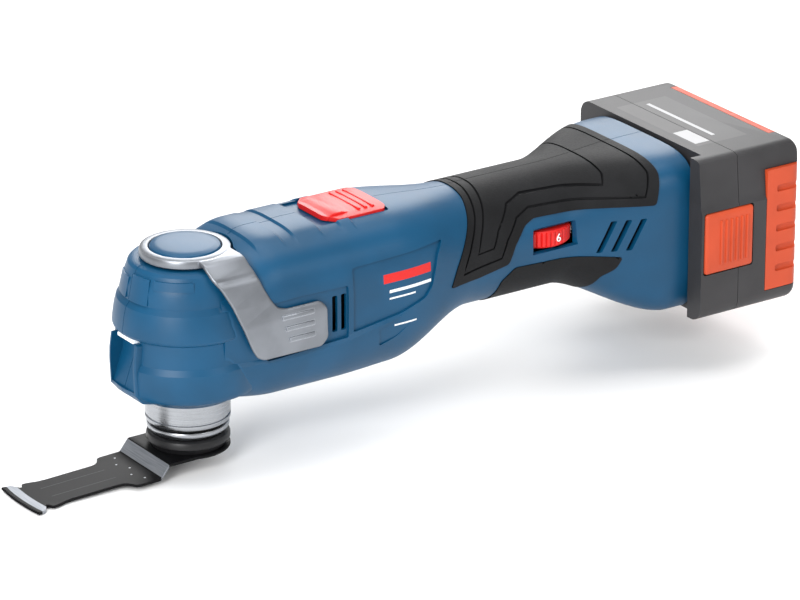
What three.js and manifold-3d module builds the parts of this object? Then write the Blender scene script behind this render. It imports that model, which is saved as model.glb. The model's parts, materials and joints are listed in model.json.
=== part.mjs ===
// Cordless oscillating multi tool with a plunge blade and a slide-on battery pack.
// Millimetres, +Z up along the spindle, +X along the barrel towards the pack.
// The origin is the centre of the clamp rod's end face, under the blade.

import * as THREE from 'three';
import { mergeVertices } from 'three/addons/utils/BufferGeometryUtils.js';
import Module from 'manifold-3d';

const wasm = await Module();
wasm.setup();

// ---------------------------------------------------------------- driving sizes

const GAP = 0.3; // clearance left between neighbouring pieces
const WALL = 2.6; // moulded housing wall
const AXIS_HEIGHT = 62.6; // barrel centreline above the clamp rod's end face

// Barrel sections, measured from the centreline: half width, height up, height down, squareness.
const FRONT = { half: 34, up: 36, down: 36, square: 3.2 };
const NECK = { half: 31.5, up: 28, down: 33.5, square: 2.8 };
const GRIP = { half: 28, up: 33, down: 23, square: 2.1 };
const REAR = { half: 41.5, up: 36, down: 41, square: 5 };
const FRONT_START = 30; // where the front barrel reaches full size
const FRONT_END = 90; // where it starts to narrow
const GRIP_START = 138;
const GRIP_END = 184;
const REAR_X = 244; // rear face of the housing
const FLARE_END = REAR_X - 8; // where it reaches full size again

// Head, turned about the spindle axis.
const HEAD_TOP = 29.4;
const HEAD_RADIUS = 32.4;
const HEAD_CROWN = 25.5; // radius of the flat crown
const HEAD_LEDGE = 13; // height of the upper ledge
const HEAD_SKIRT = HEAD_RADIUS + 1; // radius of the lower band
const HEAD_SKIRT_Z = -14;
const HEAD_FOOT = 21.5; // radius of the rim round the metal neck
const HEAD_BOTTOM = -33.4;

// Metal neck, tool holder and clamp.
const NECK_RADIUS = 18.8;
const NECK_BOTTOM = -45.8;
const HOLDER_RADIUS = 18.2;
const HOLDER_TOP = NECK_BOTTOM - 1.2;
const HOLDER_BOTTOM = -51;
const SPINDLE_RADIUS = 8;
const ROD_RADIUS = 4.6;
const ROD_FOOT_RADIUS = 8.4;

// Blade.
const HUB_RADIUS = 18.5;
const HUB_DEPTH = 6.2;
const BLADE_THICKNESS = 1.3;
const BLADE_OFFSET = 5.5; // drop between the flange and the working plane
const BLADE_BEND = 20.3; // first bend line from the spindle axis
const BEND_RUN = 4.4; // length of the sloped web
const SHOULDER_HALF = 17.4;
const SHOULDER_END = 36;
const WAIST_HALF = 11.8;
const WAIST_START = 42.5;
const WAIST_END = 69;
const FLARE_HALF = 13.5;
const NOTCH_DEPTH = 3;
const CUT_START = 78.5;
const CUT_END = 85;
const CUT_HALF = 16;

// Clamping lever.
const RING_RADIUS = 20;
const RING_BORE = 15.9;
const RING_HEIGHT = 4.2;
const CAP_RISE = 1.6;
const LEVER_THICKNESS = 2.2;
const TAB_END = 50;
const TAB_TOP = 8.4;
const TAB_BOTTOM = -11.8;

// Drive.
const MOTOR_RADIUS = 21;
const MOTOR_START = 58;
const MOTOR_LENGTH = 34;
const ROTOR_RADIUS = MOTOR_RADIUS - 9.6;
const SHAFT_RADIUS = 3;
const ECCENTRICITY = 0.8;
const JOURNAL_RADIUS = SHAFT_RADIUS + 0.7;
const ECCENTRIC_X = 27; // middle of the eccentric bearing
const ECCENTRIC_OUTER = 6.5;
const FAN_X = 47;
const FAN_WIDTH = 7;
const FAN_RADIUS = MOTOR_RADIUS - 2;

// Controls.
const SLIDER_START = 64;
const SLIDER_LENGTH = 31;
const SLIDER_HALF = 15.5;
const SLIDER_TRAVEL = 6;
const SLIDER_RISE = 1.6;
const DIAL_X = 176;
const DIAL_RADIUS = 16;
const DIAL_PROUD = 0.8;
const DIAL_BOTTOM = 3.8;
const DIAL_HEIGHT = 7.8;

// Battery pack.
const PACK_FRONT = REAR_X + 2.3;
const PACK_LENGTH = 52; // from the housing's rear face to the bumper's back
const PACK_BACK = REAR_X + PACK_LENGTH;
const PACK_NEAR = -52; // end with the release button
const PACK_UP = 37;
const PACK_DOWN = 40;
const PACK_WALL = 2.4;
const PACK_SPLIT = 15; // depth of the front cover
const CELL_RADIUS = 9;
const CELL_LENGTH = 65;
const CELL_COUNT = 5;
const CELL_PITCH = 2 * CELL_RADIUS + 0.48;
const PACK_FAR = PACK_NEAR + CELL_COUNT * CELL_PITCH + 4 * PACK_WALL;
const RAIL_HALF = 23; // rail spacing from the centre plane
const RAIL_REACH = 8;
const BUTTON_TRAVEL = 3;

const SCREW_RADIUS = 1.7;
const SCREW_HEAD = 3;
const SCREW_GRIP = 12; // thread length in the left half
const SCREW_SEAT = 9; // depth of the counterbore's floor from the centre plane
const BOSS_RADIUS = 4.2;
const UNDER_MOTOR = MOTOR_RADIUS + 7; // distance of the bosses from the centreline beside the motor
const SCREWS = [
  [40, -UNDER_MOTOR], [84, -UNDER_MOTOR], [46, UNDER_MOTOR - 1],
  [109, -24], [142, -14], [196, 25], [212, -24],
];

// ---------------------------------------------------------------- materials

function paint(color, roughness, metalness = 0) {
  return new THREE.MeshStandardMaterial({ color, roughness, metalness });
}

const BLUE = paint(0x12659b, 0.45);
const BLACK_RUBBER = paint(0x1b1c1f, 0.75);
const BLACK_PLASTIC = paint(0x232428, 0.55);
const RED = paint(0xd8322f, 0.4);
const SILVER = paint(0xa9adb5, 0.35, 0.9);
const STEEL = paint(0x8c9096, 0.3, 1);
const BLADE_BLACK = paint(0x121315, 0.5, 0.4);
const PACK_GREY = paint(0x3d3c3e, 0.55);
const ORANGE = paint(0xd9653c, 0.6);
const WHITE = paint(0xf0f2f2, 0.3);
const GREEN = paint(0x1f6b3f, 0.6);
const COPPER = paint(0xb5652e, 0.35, 0.9);
const CELL_WRAP = paint(0x2f7f5f, 0.5);

// ---------------------------------------------------------------- solids

// Closed solid from a three.js geometry, with its faces pointing outwards.
function solid(geometry) {
  const bare = geometry.index ? geometry.toNonIndexed() : geometry.clone();
  bare.deleteAttribute('normal');
  bare.deleteAttribute('uv');
  const merged = mergeVertices(bare, 1e-4);
  const points = new Float32Array(merged.attributes.position.array);
  const corners = [];
  const index = merged.index.array;
  for (let i = 0; i < index.length; i += 3) {
    const [a, b, c] = [index[i], index[i + 1], index[i + 2]];
    if (a !== b && b !== c && c !== a) {
      corners.push(a, b, c);
    }
  }
  if (signedVolume(points, corners) < 0) {
    for (let i = 0; i < corners.length; i += 3) {
      [corners[i], corners[i + 1]] = [corners[i + 1], corners[i]];
    }
  }
  const triVerts = new Uint32Array(corners);
  return new wasm.Manifold(new wasm.Mesh({ numProp: 3, vertProperties: points, triVerts }));
}

function signedVolume(points, corners) {
  const [a, b, c] = [new THREE.Vector3(), new THREE.Vector3(), new THREE.Vector3()];
  let sum = 0;
  for (let i = 0; i < corners.length; i += 3) {
    a.fromArray(points, corners[i] * 3);
    b.fromArray(points, corners[i + 1] * 3);
    c.fromArray(points, corners[i + 2] * 3);
    sum += a.dot(b.cross(c));
  }
  return sum;
}

function named(name, shape, material) {
  const { vertProperties, triVerts } = shape.getMesh();
  const geometry = new THREE.BufferGeometry();
  geometry.setAttribute('position', new THREE.BufferAttribute(new Float32Array(vertProperties), 3));
  geometry.setIndex(new THREE.BufferAttribute(new Uint32Array(triVerts), 1));
  geometry.computeVertexNormals();
  const mesh = new THREE.Mesh(geometry, material);
  mesh.name = name;
  return mesh;
}

function box(x0, x1, y0, y1, z0, z1) {
  const geometry = new THREE.BoxGeometry(x1 - x0, y1 - y0, z1 - z0);
  geometry.translate((x0 + x1) / 2, (y0 + y1) / 2, (z0 + z1) / 2);
  return solid(geometry);
}

// Prism of an outline along one axis. Outlines are drawn in YZ, XZ or XY.
const FRAMES = {
  x: new THREE.Matrix4().makeBasis(
    new THREE.Vector3(0, 1, 0), new THREE.Vector3(0, 0, 1), new THREE.Vector3(1, 0, 0)),
  y: new THREE.Matrix4().makeBasis(
    new THREE.Vector3(1, 0, 0), new THREE.Vector3(0, 0, 1), new THREE.Vector3(0, -1, 0)),
  z: new THREE.Matrix4(),
};

function prism(axis, shape, from, to, curveSegments = 6) {
  const options = { depth: to - from, bevelEnabled: false, curveSegments };
  const geometry = new THREE.ExtrudeGeometry(shape, options);
  geometry.translate(0, 0, axis === 'y' ? -to : from);
  geometry.applyMatrix4(FRAMES[axis]);
  return solid(geometry);
}

function outline(points) {
  return new THREE.Shape(points.map(([x, y]) => new THREE.Vector2(x, y)));
}

function roundedOutline(x0, x1, y0, y1, r) {
  const shape = new THREE.Shape();
  shape.moveTo(x0 + r, y0);
  shape.lineTo(x1 - r, y0);
  shape.absarc(x1 - r, y0 + r, r, -Math.PI / 2, 0);
  shape.lineTo(x1, y1 - r);
  shape.absarc(x1 - r, y1 - r, r, 0, Math.PI / 2);
  shape.lineTo(x0 + r, y1);
  shape.absarc(x0 + r, y1 - r, r, Math.PI / 2, Math.PI);
  shape.lineTo(x0, y0 + r);
  shape.absarc(x0 + r, y0 + r, r, Math.PI, 1.5 * Math.PI);
  return shape;
}

// Solid of revolution about a line along an axis. Profile points are (radius, position).
function turned(axis, profile, segments = 24) {
  const points = profile.map(([r, p]) => new THREE.Vector2(r, p));
  const geometry = new THREE.LatheGeometry(points, segments);
  if (axis === 'z') {
    geometry.rotateX(Math.PI / 2);
  } else if (axis === 'x') {
    geometry.rotateZ(-Math.PI / 2);
  }
  return solid(geometry);
}

function rod(axis, r, from, to, segments = 24) {
  return turned(axis, [[0, from], [r, from], [r, to], [0, to]], segments);
}

function tube(axis, outer, inner, from, to, segments = 24) {
  const profile = [[inner, from], [outer, from], [outer, to], [inner, to], [inner, from]];
  return turned(axis, profile, segments);
}

function join(pieces) {
  return pieces.reduce((sum, piece) => sum.add(piece));
}

function cut(shape, tools) {
  return tools.reduce((rest, tool) => rest.subtract(tool), shape);
}

// ---------------------------------------------------------------- barrel form

function ease(from, to, x) {
  const t = Math.min(1, Math.max(0, (x - from) / (to - from)));
  return t * t * (3 - 2 * t);
}

function blend(a, b, t) {
  const mix = (key) => a[key] + (b[key] - a[key]) * t;
  return { half: mix('half'), up: mix('up'), down: mix('down'), square: mix('square') };
}

// Section of the barrel at a distance x behind the spindle axis.
function sectionAt(x) {
  const front = blend(NECK, FRONT, ease(0, FRONT_START, x));
  const middle = blend(front, GRIP, ease(FRONT_END, GRIP_START, x));
  return blend(middle, REAR, ease(GRIP_END, FLARE_END, x));
}

const SECTION_POINTS = 24;
const SECTION_STEP = 16;

// The barrel between two distances, with its surface moved in by inset.
function barrel(inset, from, to) {
  const ring = [];
  for (let i = 0; i < SECTION_POINTS; i += 1) {
    const angle = (2 * Math.PI * i) / SECTION_POINTS;
    ring.push([Math.cos(angle), Math.sin(angle)]);
  }
  const steps = Math.max(1, Math.round((to - from) / SECTION_STEP));
  const options = { depth: 1, steps, bevelEnabled: false };
  const geometry = new THREE.ExtrudeGeometry(outline(ring), options);
  const position = geometry.attributes.position;
  for (let i = 0; i < position.count; i += 1) {
    const x = from + position.getZ(i) * (to - from);
    const { half, up, down, square } = sectionAt(x);
    const bow = (value) => Math.sign(value) * Math.abs(value) ** (2 / square);
    const y = (half - inset) * bow(position.getX(i));
    const z = (up - down) / 2 + ((up + down) / 2 - inset) * bow(position.getY(i));
    position.setXYZ(i, x, y, z);
  }
  return solid(geometry);
}

function head(inset) {
  const r = (radius) => radius - inset;
  return turned('z', [
    [0, HEAD_BOTTOM + inset],
    [r(HEAD_FOOT), HEAD_BOTTOM + inset],
    [r(HEAD_FOOT + 4.5), HEAD_BOTTOM + 2.8],
    [r(HEAD_SKIRT - 1), HEAD_SKIRT_Z - 14],
    [r(HEAD_SKIRT), HEAD_SKIRT_Z - 3],
    [r(HEAD_RADIUS), HEAD_SKIRT_Z + 3],
    [r(HEAD_RADIUS - 0.5), 4],
    [r(HEAD_RADIUS - 2.4), HEAD_LEDGE],
    [r(HEAD_CROWN + 2.4), HEAD_LEDGE + 8],
    [r(HEAD_CROWN), HEAD_TOP - 1.6 - inset / 2],
    [r(HEAD_CROWN - 1.5), HEAD_TOP - inset],
    [0, HEAD_TOP - inset],
  ], 32);
}

// ---------------------------------------------------------------- outlines

// Outline grown by d on every side, with its corners kept sharp.
function grown(points, d) {
  const area = points.reduce((sum, [x, y], i) => {
    const [u, v] = points[(i + 1) % points.length];
    return sum + x * v - u * y;
  }, 0);
  const side = Math.sign(area) * d;
  return points.map(([x, y], i) => {
    const before = points[(i + points.length - 1) % points.length];
    const after = points[(i + 1) % points.length];
    const a = new THREE.Vector2(x - before[0], y - before[1]).normalize();
    const b = new THREE.Vector2(after[0] - x, after[1] - y).normalize();
    const turn = side / (1 + a.dot(b));
    return [x + (a.y + b.y) * turn, y - (a.x + b.x) * turn];
  });
}

// ---------------------------------------------------------------- housing

const INNER_REAR = REAR_X - 6;
const MOUTH = { half: REAR.half - 5.5, up: REAR.up - 6, down: REAR.down - 6, corner: 12 };
const LED_HALF = 10.5;
const LED_TOP = -1;
const LED_BOTTOM = -25;
const LED_DEPTH = 6.4;
const LINER = 2;

function ledRecess(extra) {
  const front = -HEAD_SKIRT - 4;
  const shape = outline([
    [front, LED_TOP + extra],
    [front, LED_BOTTOM - extra],
    [-HEAD_SKIRT + 1 + extra, LED_BOTTOM - extra],
    [-HEAD_RADIUS + LED_DEPTH + extra, LED_TOP + extra],
  ]);
  return prism('y', shape, -LED_HALF - extra, LED_HALF + extra);
}

const VENT_START = 54;
const VENT_PITCH = 5;
const VENT_WIDTH = 2.6;
const REAR_VENT_START = 199;
const REAR_VENT_PITCH = 6.5;
const REAR_VENT_COUNT = 3;

function acrossSide(side, shape, depth, curveSegments) {
  const far = REAR.half + 20;
  return side < 0
    ? prism('y', shape, -far, -depth, curveSegments)
    : prism('y', shape, depth, far, curveSegments);
}

function sideVents(side) {
  const slots = [0, 1].map((i) => {
    const x = VENT_START + i * VENT_PITCH;
    const shape = roundedOutline(x, x + VENT_WIDTH, -8, 8.5, 1);
    return acrossSide(side, shape, FRONT.half - WALL * 2, 2);
  });
  for (let i = 0; i < REAR_VENT_COUNT; i += 1) {
    const x = REAR_VENT_START + i * REAR_VENT_PITCH;
    const slant = outline([[x - 2, -3.5], [x + 0.8, -3.5], [x + 7.4, 11], [x + 4.6, 11]]);
    slots.push(acrossSide(side, slant, sectionAt(x).half - WALL * 3));
  }
  return slots;
}

const LABEL = [[64, -10.5], [90, -7], [107, -2], [111.5, 20.5], [64, 19.5]];
const LABEL_DEPTH = 0.6;

// Soft overmouldings and the seats they lie in.
const SKIN_SEAT = 1.2;
const SKIN_PROUD = 0.3;
const GRIP_OUTLINE = [
  [119, -3], [152, 0], [159, 14], [166, 19.5], [200, 17], [224, 17], [227, 31], [222, 60],
  [139, 60], [131, 20],
];
const BELLY_OUTLINE = [[146, -60], [190, -60], [204, -16], [210, -6.8], [155, -2.2], [146, -12]];

function skin(shape, outer, inner) {
  const shell = barrel(outer, FRONT_END, INNER_REAR).subtract(
    barrel(inner, FRONT_END - 1, INNER_REAR + 1));
  return shell.intersect(prism('y', outline(shape), -60, 60));
}

function seat(shape) {
  return skin(shape, -SKIN_PROUD - 2, SKIN_SEAT);
}

function overmould(shape, side) {
  return skin(grown(shape, -GAP), -SKIN_PROUD, SKIN_SEAT - GAP).intersect(halfSpace(side));
}

function halfSpace(side) {
  return side < 0
    ? box(-60, REAR_X + 10, -70, -GAP / 2, -70, 70)
    : box(-60, REAR_X + 10, GAP / 2, 70, -70, 70);
}

const SLIDER_FLOOR = FRONT.up - WALL + 0.8;
const SLIDER_TOP = FRONT.up + SLIDER_RISE;
const STEM_START = 76;
const STEM_LENGTH = 9;
const STEM_HALF = 3.7;
const LINK_THICKNESS = 2.7;
const LINK_BOTTOM = MOTOR_RADIUS + 4; // over the motor
const LINK_TOP = LINK_BOTTOM + LINK_THICKNESS;
const LINK_REAR = GRIP.up - 8; // underside over the switch

function sliderPocket() {
  const x0 = SLIDER_START - SLIDER_TRAVEL - GAP;
  const x1 = SLIDER_START + SLIDER_LENGTH + GAP;
  const shape = roundedOutline(x0, x1, -SLIDER_HALF - GAP, SLIDER_HALF + GAP, 2);
  const slot = box(STEM_START - SLIDER_TRAVEL - GAP, STEM_START + STEM_LENGTH + GAP,
    -STEM_HALF - GAP, STEM_HALF + GAP, SLIDER_FLOOR - 5, SLIDER_FLOOR + 1);
  return prism('z', shape, SLIDER_FLOOR, SLIDER_TOP + 5, 3).add(slot);
}

const DIAL_Y = -GRIP.half - DIAL_PROUD + DIAL_RADIUS;
const WINDOW_DEPTH = WALL + 0.8; // from the surface to where the wheel clears the wall
const WINDOW_HALF = GAP + Math.sqrt(DIAL_RADIUS ** 2 - (DIAL_RADIUS - DIAL_PROUD - WINDOW_DEPTH) ** 2);

function dialWindow() {
  return box(DIAL_X - WINDOW_HALF, DIAL_X + WINDOW_HALF, -60, DIAL_Y,
    DIAL_BOTTOM - 2 * GAP, DIAL_BOTTOM + DIAL_HEIGHT + 2 * GAP);
}

function mouthForm(inset, from, to) {
  const { half, up, down, corner } = MOUTH;
  const shape = roundedOutline(-half + inset, half - inset, -down + inset, up - inset, corner);
  return prism('x', shape, from, to, 3);
}

function bosses() {
  return SCREWS.map(([x, z]) => rod('y', BOSS_RADIUS, -50, 50, 8).translate([x, 0, z]));
}

// Pilot holes in the left half; clearance holes with counterbores in the right half.
function screwHoles(side) {
  return SCREWS.map(([x, z]) => {
    if (side < 0) {
      return rod('y', SCREW_RADIUS + GAP, -SCREW_GRIP - 1, 1, 8).translate([x, 0, z]);
    }
    const shank = rod('y', SCREW_RADIUS + GAP, -1, SCREW_SEAT + 1, 8);
    return shank.add(rod('y', SCREW_HEAD + GAP, SCREW_SEAT, 60, 8)).translate([x, 0, z]);
  });
}

function housingHalf(side) {
  const outer = barrel(0, 0, REAR_X).add(head(0));
  const inner = barrel(WALL, 0.5, INNER_REAR).add(head(WALL));
  const ribs = join([...bosses(), ledRecess(LINER)]).intersect(outer);
  const openings = [
    ledRecess(0),
    rod('z', NECK_RADIUS + GAP, HEAD_BOTTOM - 5, HEAD_BOTTOM + 12, 36),
    rod('z', CAM_RADIUS + GAP, HEAD_TOP - 10, HEAD_TOP + 5, 24),
    rod('z', RING_RADIUS + 2 * GAP, HEAD_TOP, HEAD_TOP + 20, 36),
    sliderPocket(),
    mouthForm(0, INNER_REAR - 1, REAR_X + 5),
    ...sideVents(side),
    ...screwHoles(side),
    seat(GRIP_OUTLINE),
    seat(BELLY_OUTLINE),
  ];
  if (side < 0) {
    openings.push(dialWindow(), acrossSide(side, outline(LABEL), FRONT.half - LABEL_DEPTH));
  }
  return cut(outer.subtract(inner).add(ribs), openings).intersect(halfSpace(side));
}

function screw() {
  const cap = rod('y', SCREW_HEAD, SCREW_SEAT + GAP, SCREW_SEAT + 2.6, 8);
  const socket = rod('y', 1.4, SCREW_SEAT + 1.2, SCREW_SEAT + 4, 6);
  return rod('y', SCREW_RADIUS, -SCREW_GRIP, SCREW_SEAT + 0.5, 8).add(cap).subtract(socket);
}

// ---------------------------------------------------------------- work lamp

function ledLens() {
  const back = -HEAD_RADIUS + LED_DEPTH - 1;
  return box(back - 4, back, -6.5, 6.5, LED_TOP - GAP - 1.8, LED_TOP - GAP);
}

function ledBoard() {
  const base = LED_TOP + LINER + GAP;
  const board = box(-28.6, -GEARBOX_RADIUS - 1, -6, 6, base, base + 1.2);
  return board.add(box(-27, -25, -1.5, 1.5, base, base + 2.2));
}

// ---------------------------------------------------------------- gearbox and spindle

const GEARBOX_RADIUS = 22;
const GEARBOX_WALL = 3;
const GEARBOX_TOP = 17;
const GEARBOX_TUBE = 21;
const GEARBOX_END = 42;
const BEARING_WIDTH = 6;
const UPPER_BEARING_Z = 9;
const UPPER_BEARING_RADIUS = SPINDLE_RADIUS + 5;
const LOWER_BEARING_Z = -44;
const LOWER_BEARING_RADIUS = SPINDLE_RADIUS + 6;
const MOTOR_BEARING_RADIUS = 8;
const MOTOR_BEARING_X = 36;
const SPINDLE_TOP = 17;
const SPINDLE_BOTTOM = HOLDER_BOTTOM + GAP;

function gearboxHousing() {
  const body = turned('z', [
    [0, NECK_BOTTOM],
    [NECK_RADIUS - 0.8, NECK_BOTTOM],
    [NECK_RADIUS, NECK_BOTTOM + 0.8],
    [NECK_RADIUS, HEAD_BOTTOM + 5],
    [GEARBOX_RADIUS - 1.5, HEAD_BOTTOM + 5.5],
    [GEARBOX_RADIUS, HEAD_BOTTOM + 8],
    [GEARBOX_RADIUS, GEARBOX_TOP - 2],
    [GEARBOX_RADIUS - 2, GEARBOX_TOP],
    [0, GEARBOX_TOP],
  ], 24);
  const motorTube = rod('x', GEARBOX_TUBE, 8, GEARBOX_END, 24);
  const chamber = rod('z', GEARBOX_RADIUS - GEARBOX_WALL, HEAD_BOTTOM + 10, UPPER_BEARING_Z - 1, 24);
  const tubeBore = rod('x', GEARBOX_TUBE - GEARBOX_WALL, 8, MOTOR_BEARING_X - 1, 24);
  return cut(body.add(motorTube), [
    chamber,
    tubeBore.subtract(rod('z', GEARBOX_RADIUS, UPPER_BEARING_Z - 1, 40)),
    rod('z', UPPER_BEARING_RADIUS + GAP, 0, GEARBOX_TOP + 5, 24),
    rod('z', LOWER_BEARING_RADIUS + GAP, NECK_BOTTOM - 5, -20, 24),
    rod('x', MOTOR_BEARING_RADIUS + GAP, 20, GEARBOX_END + 5, 24),
  ]);
}

function spindle() {
  const bore = rod('z', ROD_RADIUS + GAP, SPINDLE_BOTTOM - 5, SPINDLE_TOP + 5);
  return rod('z', SPINDLE_RADIUS, SPINDLE_BOTTOM, SPINDLE_TOP).subtract(bore);
}

// Bearing as one ring, with a working gap round the shaft it carries.
function bearing(axis, shaft, outer, from) {
  return tube(axis, outer, shaft + GAP, from, from + BEARING_WIDTH, 20);
}

const FORK_HALF_HEIGHT = 6;
const FORK_ARM = 3.6;
const OSCILLATION = THREE.MathUtils.degToRad(1.8);

// Room between the fork's arms: the bearing, its throw and the fork's own swing.
const FORK_SLOT = ECCENTRIC_OUTER + ECCENTRICITY + ECCENTRIC_X * Math.sin(OSCILLATION) + GAP;

function forkLever() {
  const reach = ECCENTRIC_X + BEARING_WIDTH / 2;
  const ring = rod('z', SPINDLE_RADIUS + 6, -FORK_HALF_HEIGHT - 1, FORK_HALF_HEIGHT + 1);
  const outer = FORK_SLOT + FORK_ARM;
  const arms = box(4, reach, -outer, outer, -FORK_HALF_HEIGHT + 1, FORK_HALF_HEIGHT - 1);
  return cut(ring.add(arms), [
    box(SPINDLE_RADIUS + 7.5, reach + 1, -FORK_SLOT, FORK_SLOT,
      -FORK_HALF_HEIGHT - 2, FORK_HALF_HEIGHT + 2),
    rod('z', SPINDLE_RADIUS + GAP, -FORK_HALF_HEIGHT - 5, FORK_HALF_HEIGHT + 5),
  ]);
}

function toolHolder() {
  const bore = SPINDLE_RADIUS + GAP;
  return turned('z', [
    [bore, HOLDER_TOP],
    [HOLDER_RADIUS - 0.6, HOLDER_TOP],
    [HOLDER_RADIUS, HOLDER_TOP - 0.6],
    [HOLDER_RADIUS, HOLDER_BOTTOM + 2.2],
    [HOLDER_RADIUS - 1, HOLDER_BOTTOM],
    [bore, HOLDER_BOTTOM],
    [bore, HOLDER_TOP],
  ], 32);
}

function neckSeal() {
  const outer = NECK_RADIUS - 1.6;
  return tube('z', outer, SPINDLE_RADIUS + 1.5, HOLDER_TOP + GAP, NECK_BOTTOM - GAP, 24);
}

// ---------------------------------------------------------------- clamp

const ROD_HEAD_TOP = HEAD_TOP - 2.9;
const ROD_HEAD_Z = ROD_HEAD_TOP - 2.5;
const FOOT_HEIGHT = 3;
const CAM_RADIUS = 12;
const SPRING_WIRE = 0.8;
const SPRING_TURNS = 3;

function clampRod() {
  const foot = turned('z', [
    [0, -AXIS_HEIGHT],
    [ROD_FOOT_RADIUS - 1.2, -AXIS_HEIGHT],
    [ROD_FOOT_RADIUS, -AXIS_HEIGHT + 1.2],
    [ROD_FOOT_RADIUS, -AXIS_HEIGHT + FOOT_HEIGHT],
    [0, -AXIS_HEIGHT + FOOT_HEIGHT],
  ]);
  const shank = rod('z', ROD_RADIUS, -AXIS_HEIGHT + 1, ROD_HEAD_Z + 1);
  return join([foot, shank, rod('z', SPINDLE_RADIUS, ROD_HEAD_Z, ROD_HEAD_TOP)]);
}

class Helix extends THREE.Curve {
  constructor(radius, from, to, turns) {
    super();
    Object.assign(this, { radius, from, to, turns });
  }

  getPoint(t, target = new THREE.Vector3()) {
    const angle = 2 * Math.PI * this.turns * t;
    const z = this.from + (this.to - this.from) * t;
    return target.set(this.radius * Math.cos(angle), this.radius * Math.sin(angle), z);
  }
}

function clampSpring() {
  const from = SPINDLE_TOP + GAP + SPRING_WIRE;
  const to = ROD_HEAD_Z - GAP - SPRING_WIRE;
  const wire = new THREE.Shape();
  wire.absarc(0, 0, SPRING_WIRE, 0, 2 * Math.PI);
  const path = new Helix(ROD_RADIUS + GAP + 2 * SPRING_WIRE, from, to, SPRING_TURNS);
  const options = { extrudePath: path, steps: 10 * SPRING_TURNS, curveSegments: 3 };
  return solid(new THREE.ExtrudeGeometry(wire, { ...options, bevelEnabled: false }));
}

// ---------------------------------------------------------------- clamping lever

const LEVER_CLEARANCE = 0.6;
const RING_BOTTOM = HEAD_TOP + LEVER_CLEARANCE;
const RING_TOP = RING_BOTTOM + RING_HEIGHT;
const LEVER_SIDE = [
  [-2.6, 40], [-2.6, 24], [3, 13.5], [6.7, 4], [11.4, -7], [14, TAB_BOTTOM + 1.4],
  [16.5, TAB_BOTTOM], [TAB_END - 3.5, TAB_BOTTOM], [TAB_END, TAB_BOTTOM + 3.5],
  [TAB_END, TAB_TOP - 3.2], [TAB_END - 3.2, TAB_TOP], [28, TAB_TOP], [24, TAB_TOP + 2],
  [20, 17], [17.5, 24], [16, 30], [15.5, 40],
];
const TAB_RIBS = 3;
const TAB_RIB_PITCH = 5.4;

function leverShell(clearance) {
  return barrel(-clearance, -12, 60).add(head(-clearance));
}

function clampLever() {
  const under = leverShell(LEVER_CLEARANCE);
  const side = prism('y', outline(LEVER_SIDE), -60, -8);
  const shoulder = prism('x', outline([
    [-12, RING_TOP - 0.8], [-12, RING_BOTTOM], [-24, 20], [-31, 20], [-31, 24.6],
    [-27.5, 29], [-20, RING_TOP - 0.8],
  ]), -8, 22);
  const plate = leverShell(LEVER_CLEARANCE + LEVER_THICKNESS).add(shoulder);
  const arm = plate.intersect(side).subtract(under);
  const out = FRONT.half + LEVER_CLEARANCE + LEVER_THICKNESS;
  const ribs = [];
  for (let i = 0; i < TAB_RIBS; i += 1) {
    const z = TAB_TOP - 3.4 - i * TAB_RIB_PITCH;
    const x = 26 + i * 2;
    ribs.push(box(x, 43, -out - 0.5, -out + 0.6, z, z + 1.5));
  }
  const ring = turned('z', [
    [RING_BORE, RING_BOTTOM],
    [RING_RADIUS, RING_BOTTOM],
    [RING_RADIUS, RING_TOP - 1],
    [RING_RADIUS - 1, RING_TOP],
    [RING_BORE, RING_TOP],
    [RING_BORE, RING_BOTTOM],
  ], 36);
  const cleared = arm.subtract(rod('z', RING_RADIUS - 1.5, 0, 60, 36));
  return join([cleared, ring, ...ribs]);
}

function leverCap() {
  const r = RING_BORE - GAP;
  return turned('z', [
    [0, RING_BOTTOM + GAP],
    [r, RING_BOTTOM + GAP],
    [r, RING_TOP],
    [r - 0.8, RING_TOP + 0.8],
    [r * 0.55, RING_TOP + CAP_RISE],
    [0, RING_TOP + CAP_RISE],
  ], 32);
}

function leverCam() {
  return rod('z', CAM_RADIUS, ROD_HEAD_TOP + GAP, RING_BOTTOM, 24);
}

// ---------------------------------------------------------------- blade

const HUB_TOP = HOLDER_BOTTOM - GAP;
const HUB_BOTTOM = HUB_TOP - HUB_DEPTH;
const FLANGE_TOP = HUB_BOTTOM - GAP;
const BLADE_BORE = ROD_FOOT_RADIUS + 0.9;
const BLADE_DROOP = 0.028; // slope of the working plane
const TOOTH_COUNT = 18;
const TOOTH_DEPTH = 1;
const EDGE_BOW = 1.2; // how far the middle of the cutting edge stands forward

function bladeHub() {
  return turned('z', [
    [BLADE_BORE, HUB_TOP],
    [HUB_RADIUS - 1, HUB_TOP],
    [HUB_RADIUS, HUB_TOP - 1.4],
    [HUB_RADIUS, HUB_BOTTOM + 0.8],
    [HUB_RADIUS - 0.8, HUB_BOTTOM],
    [BLADE_BORE, HUB_BOTTOM],
    [BLADE_BORE, HUB_TOP],
  ], 32);
}

function cuttingEdge() {
  const points = [];
  for (let i = 0; i <= 2 * TOOTH_COUNT; i += 1) {
    const share = i / (2 * TOOTH_COUNT);
    const y = CUT_HALF * (1 - 2 * share);
    const bow = EDGE_BOW * (1 - (y / CUT_HALF) ** 2);
    points.push([-CUT_END - bow + (i % 2 === 0 ? 0 : TOOTH_DEPTH), y]);
  }
  return points;
}

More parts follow.
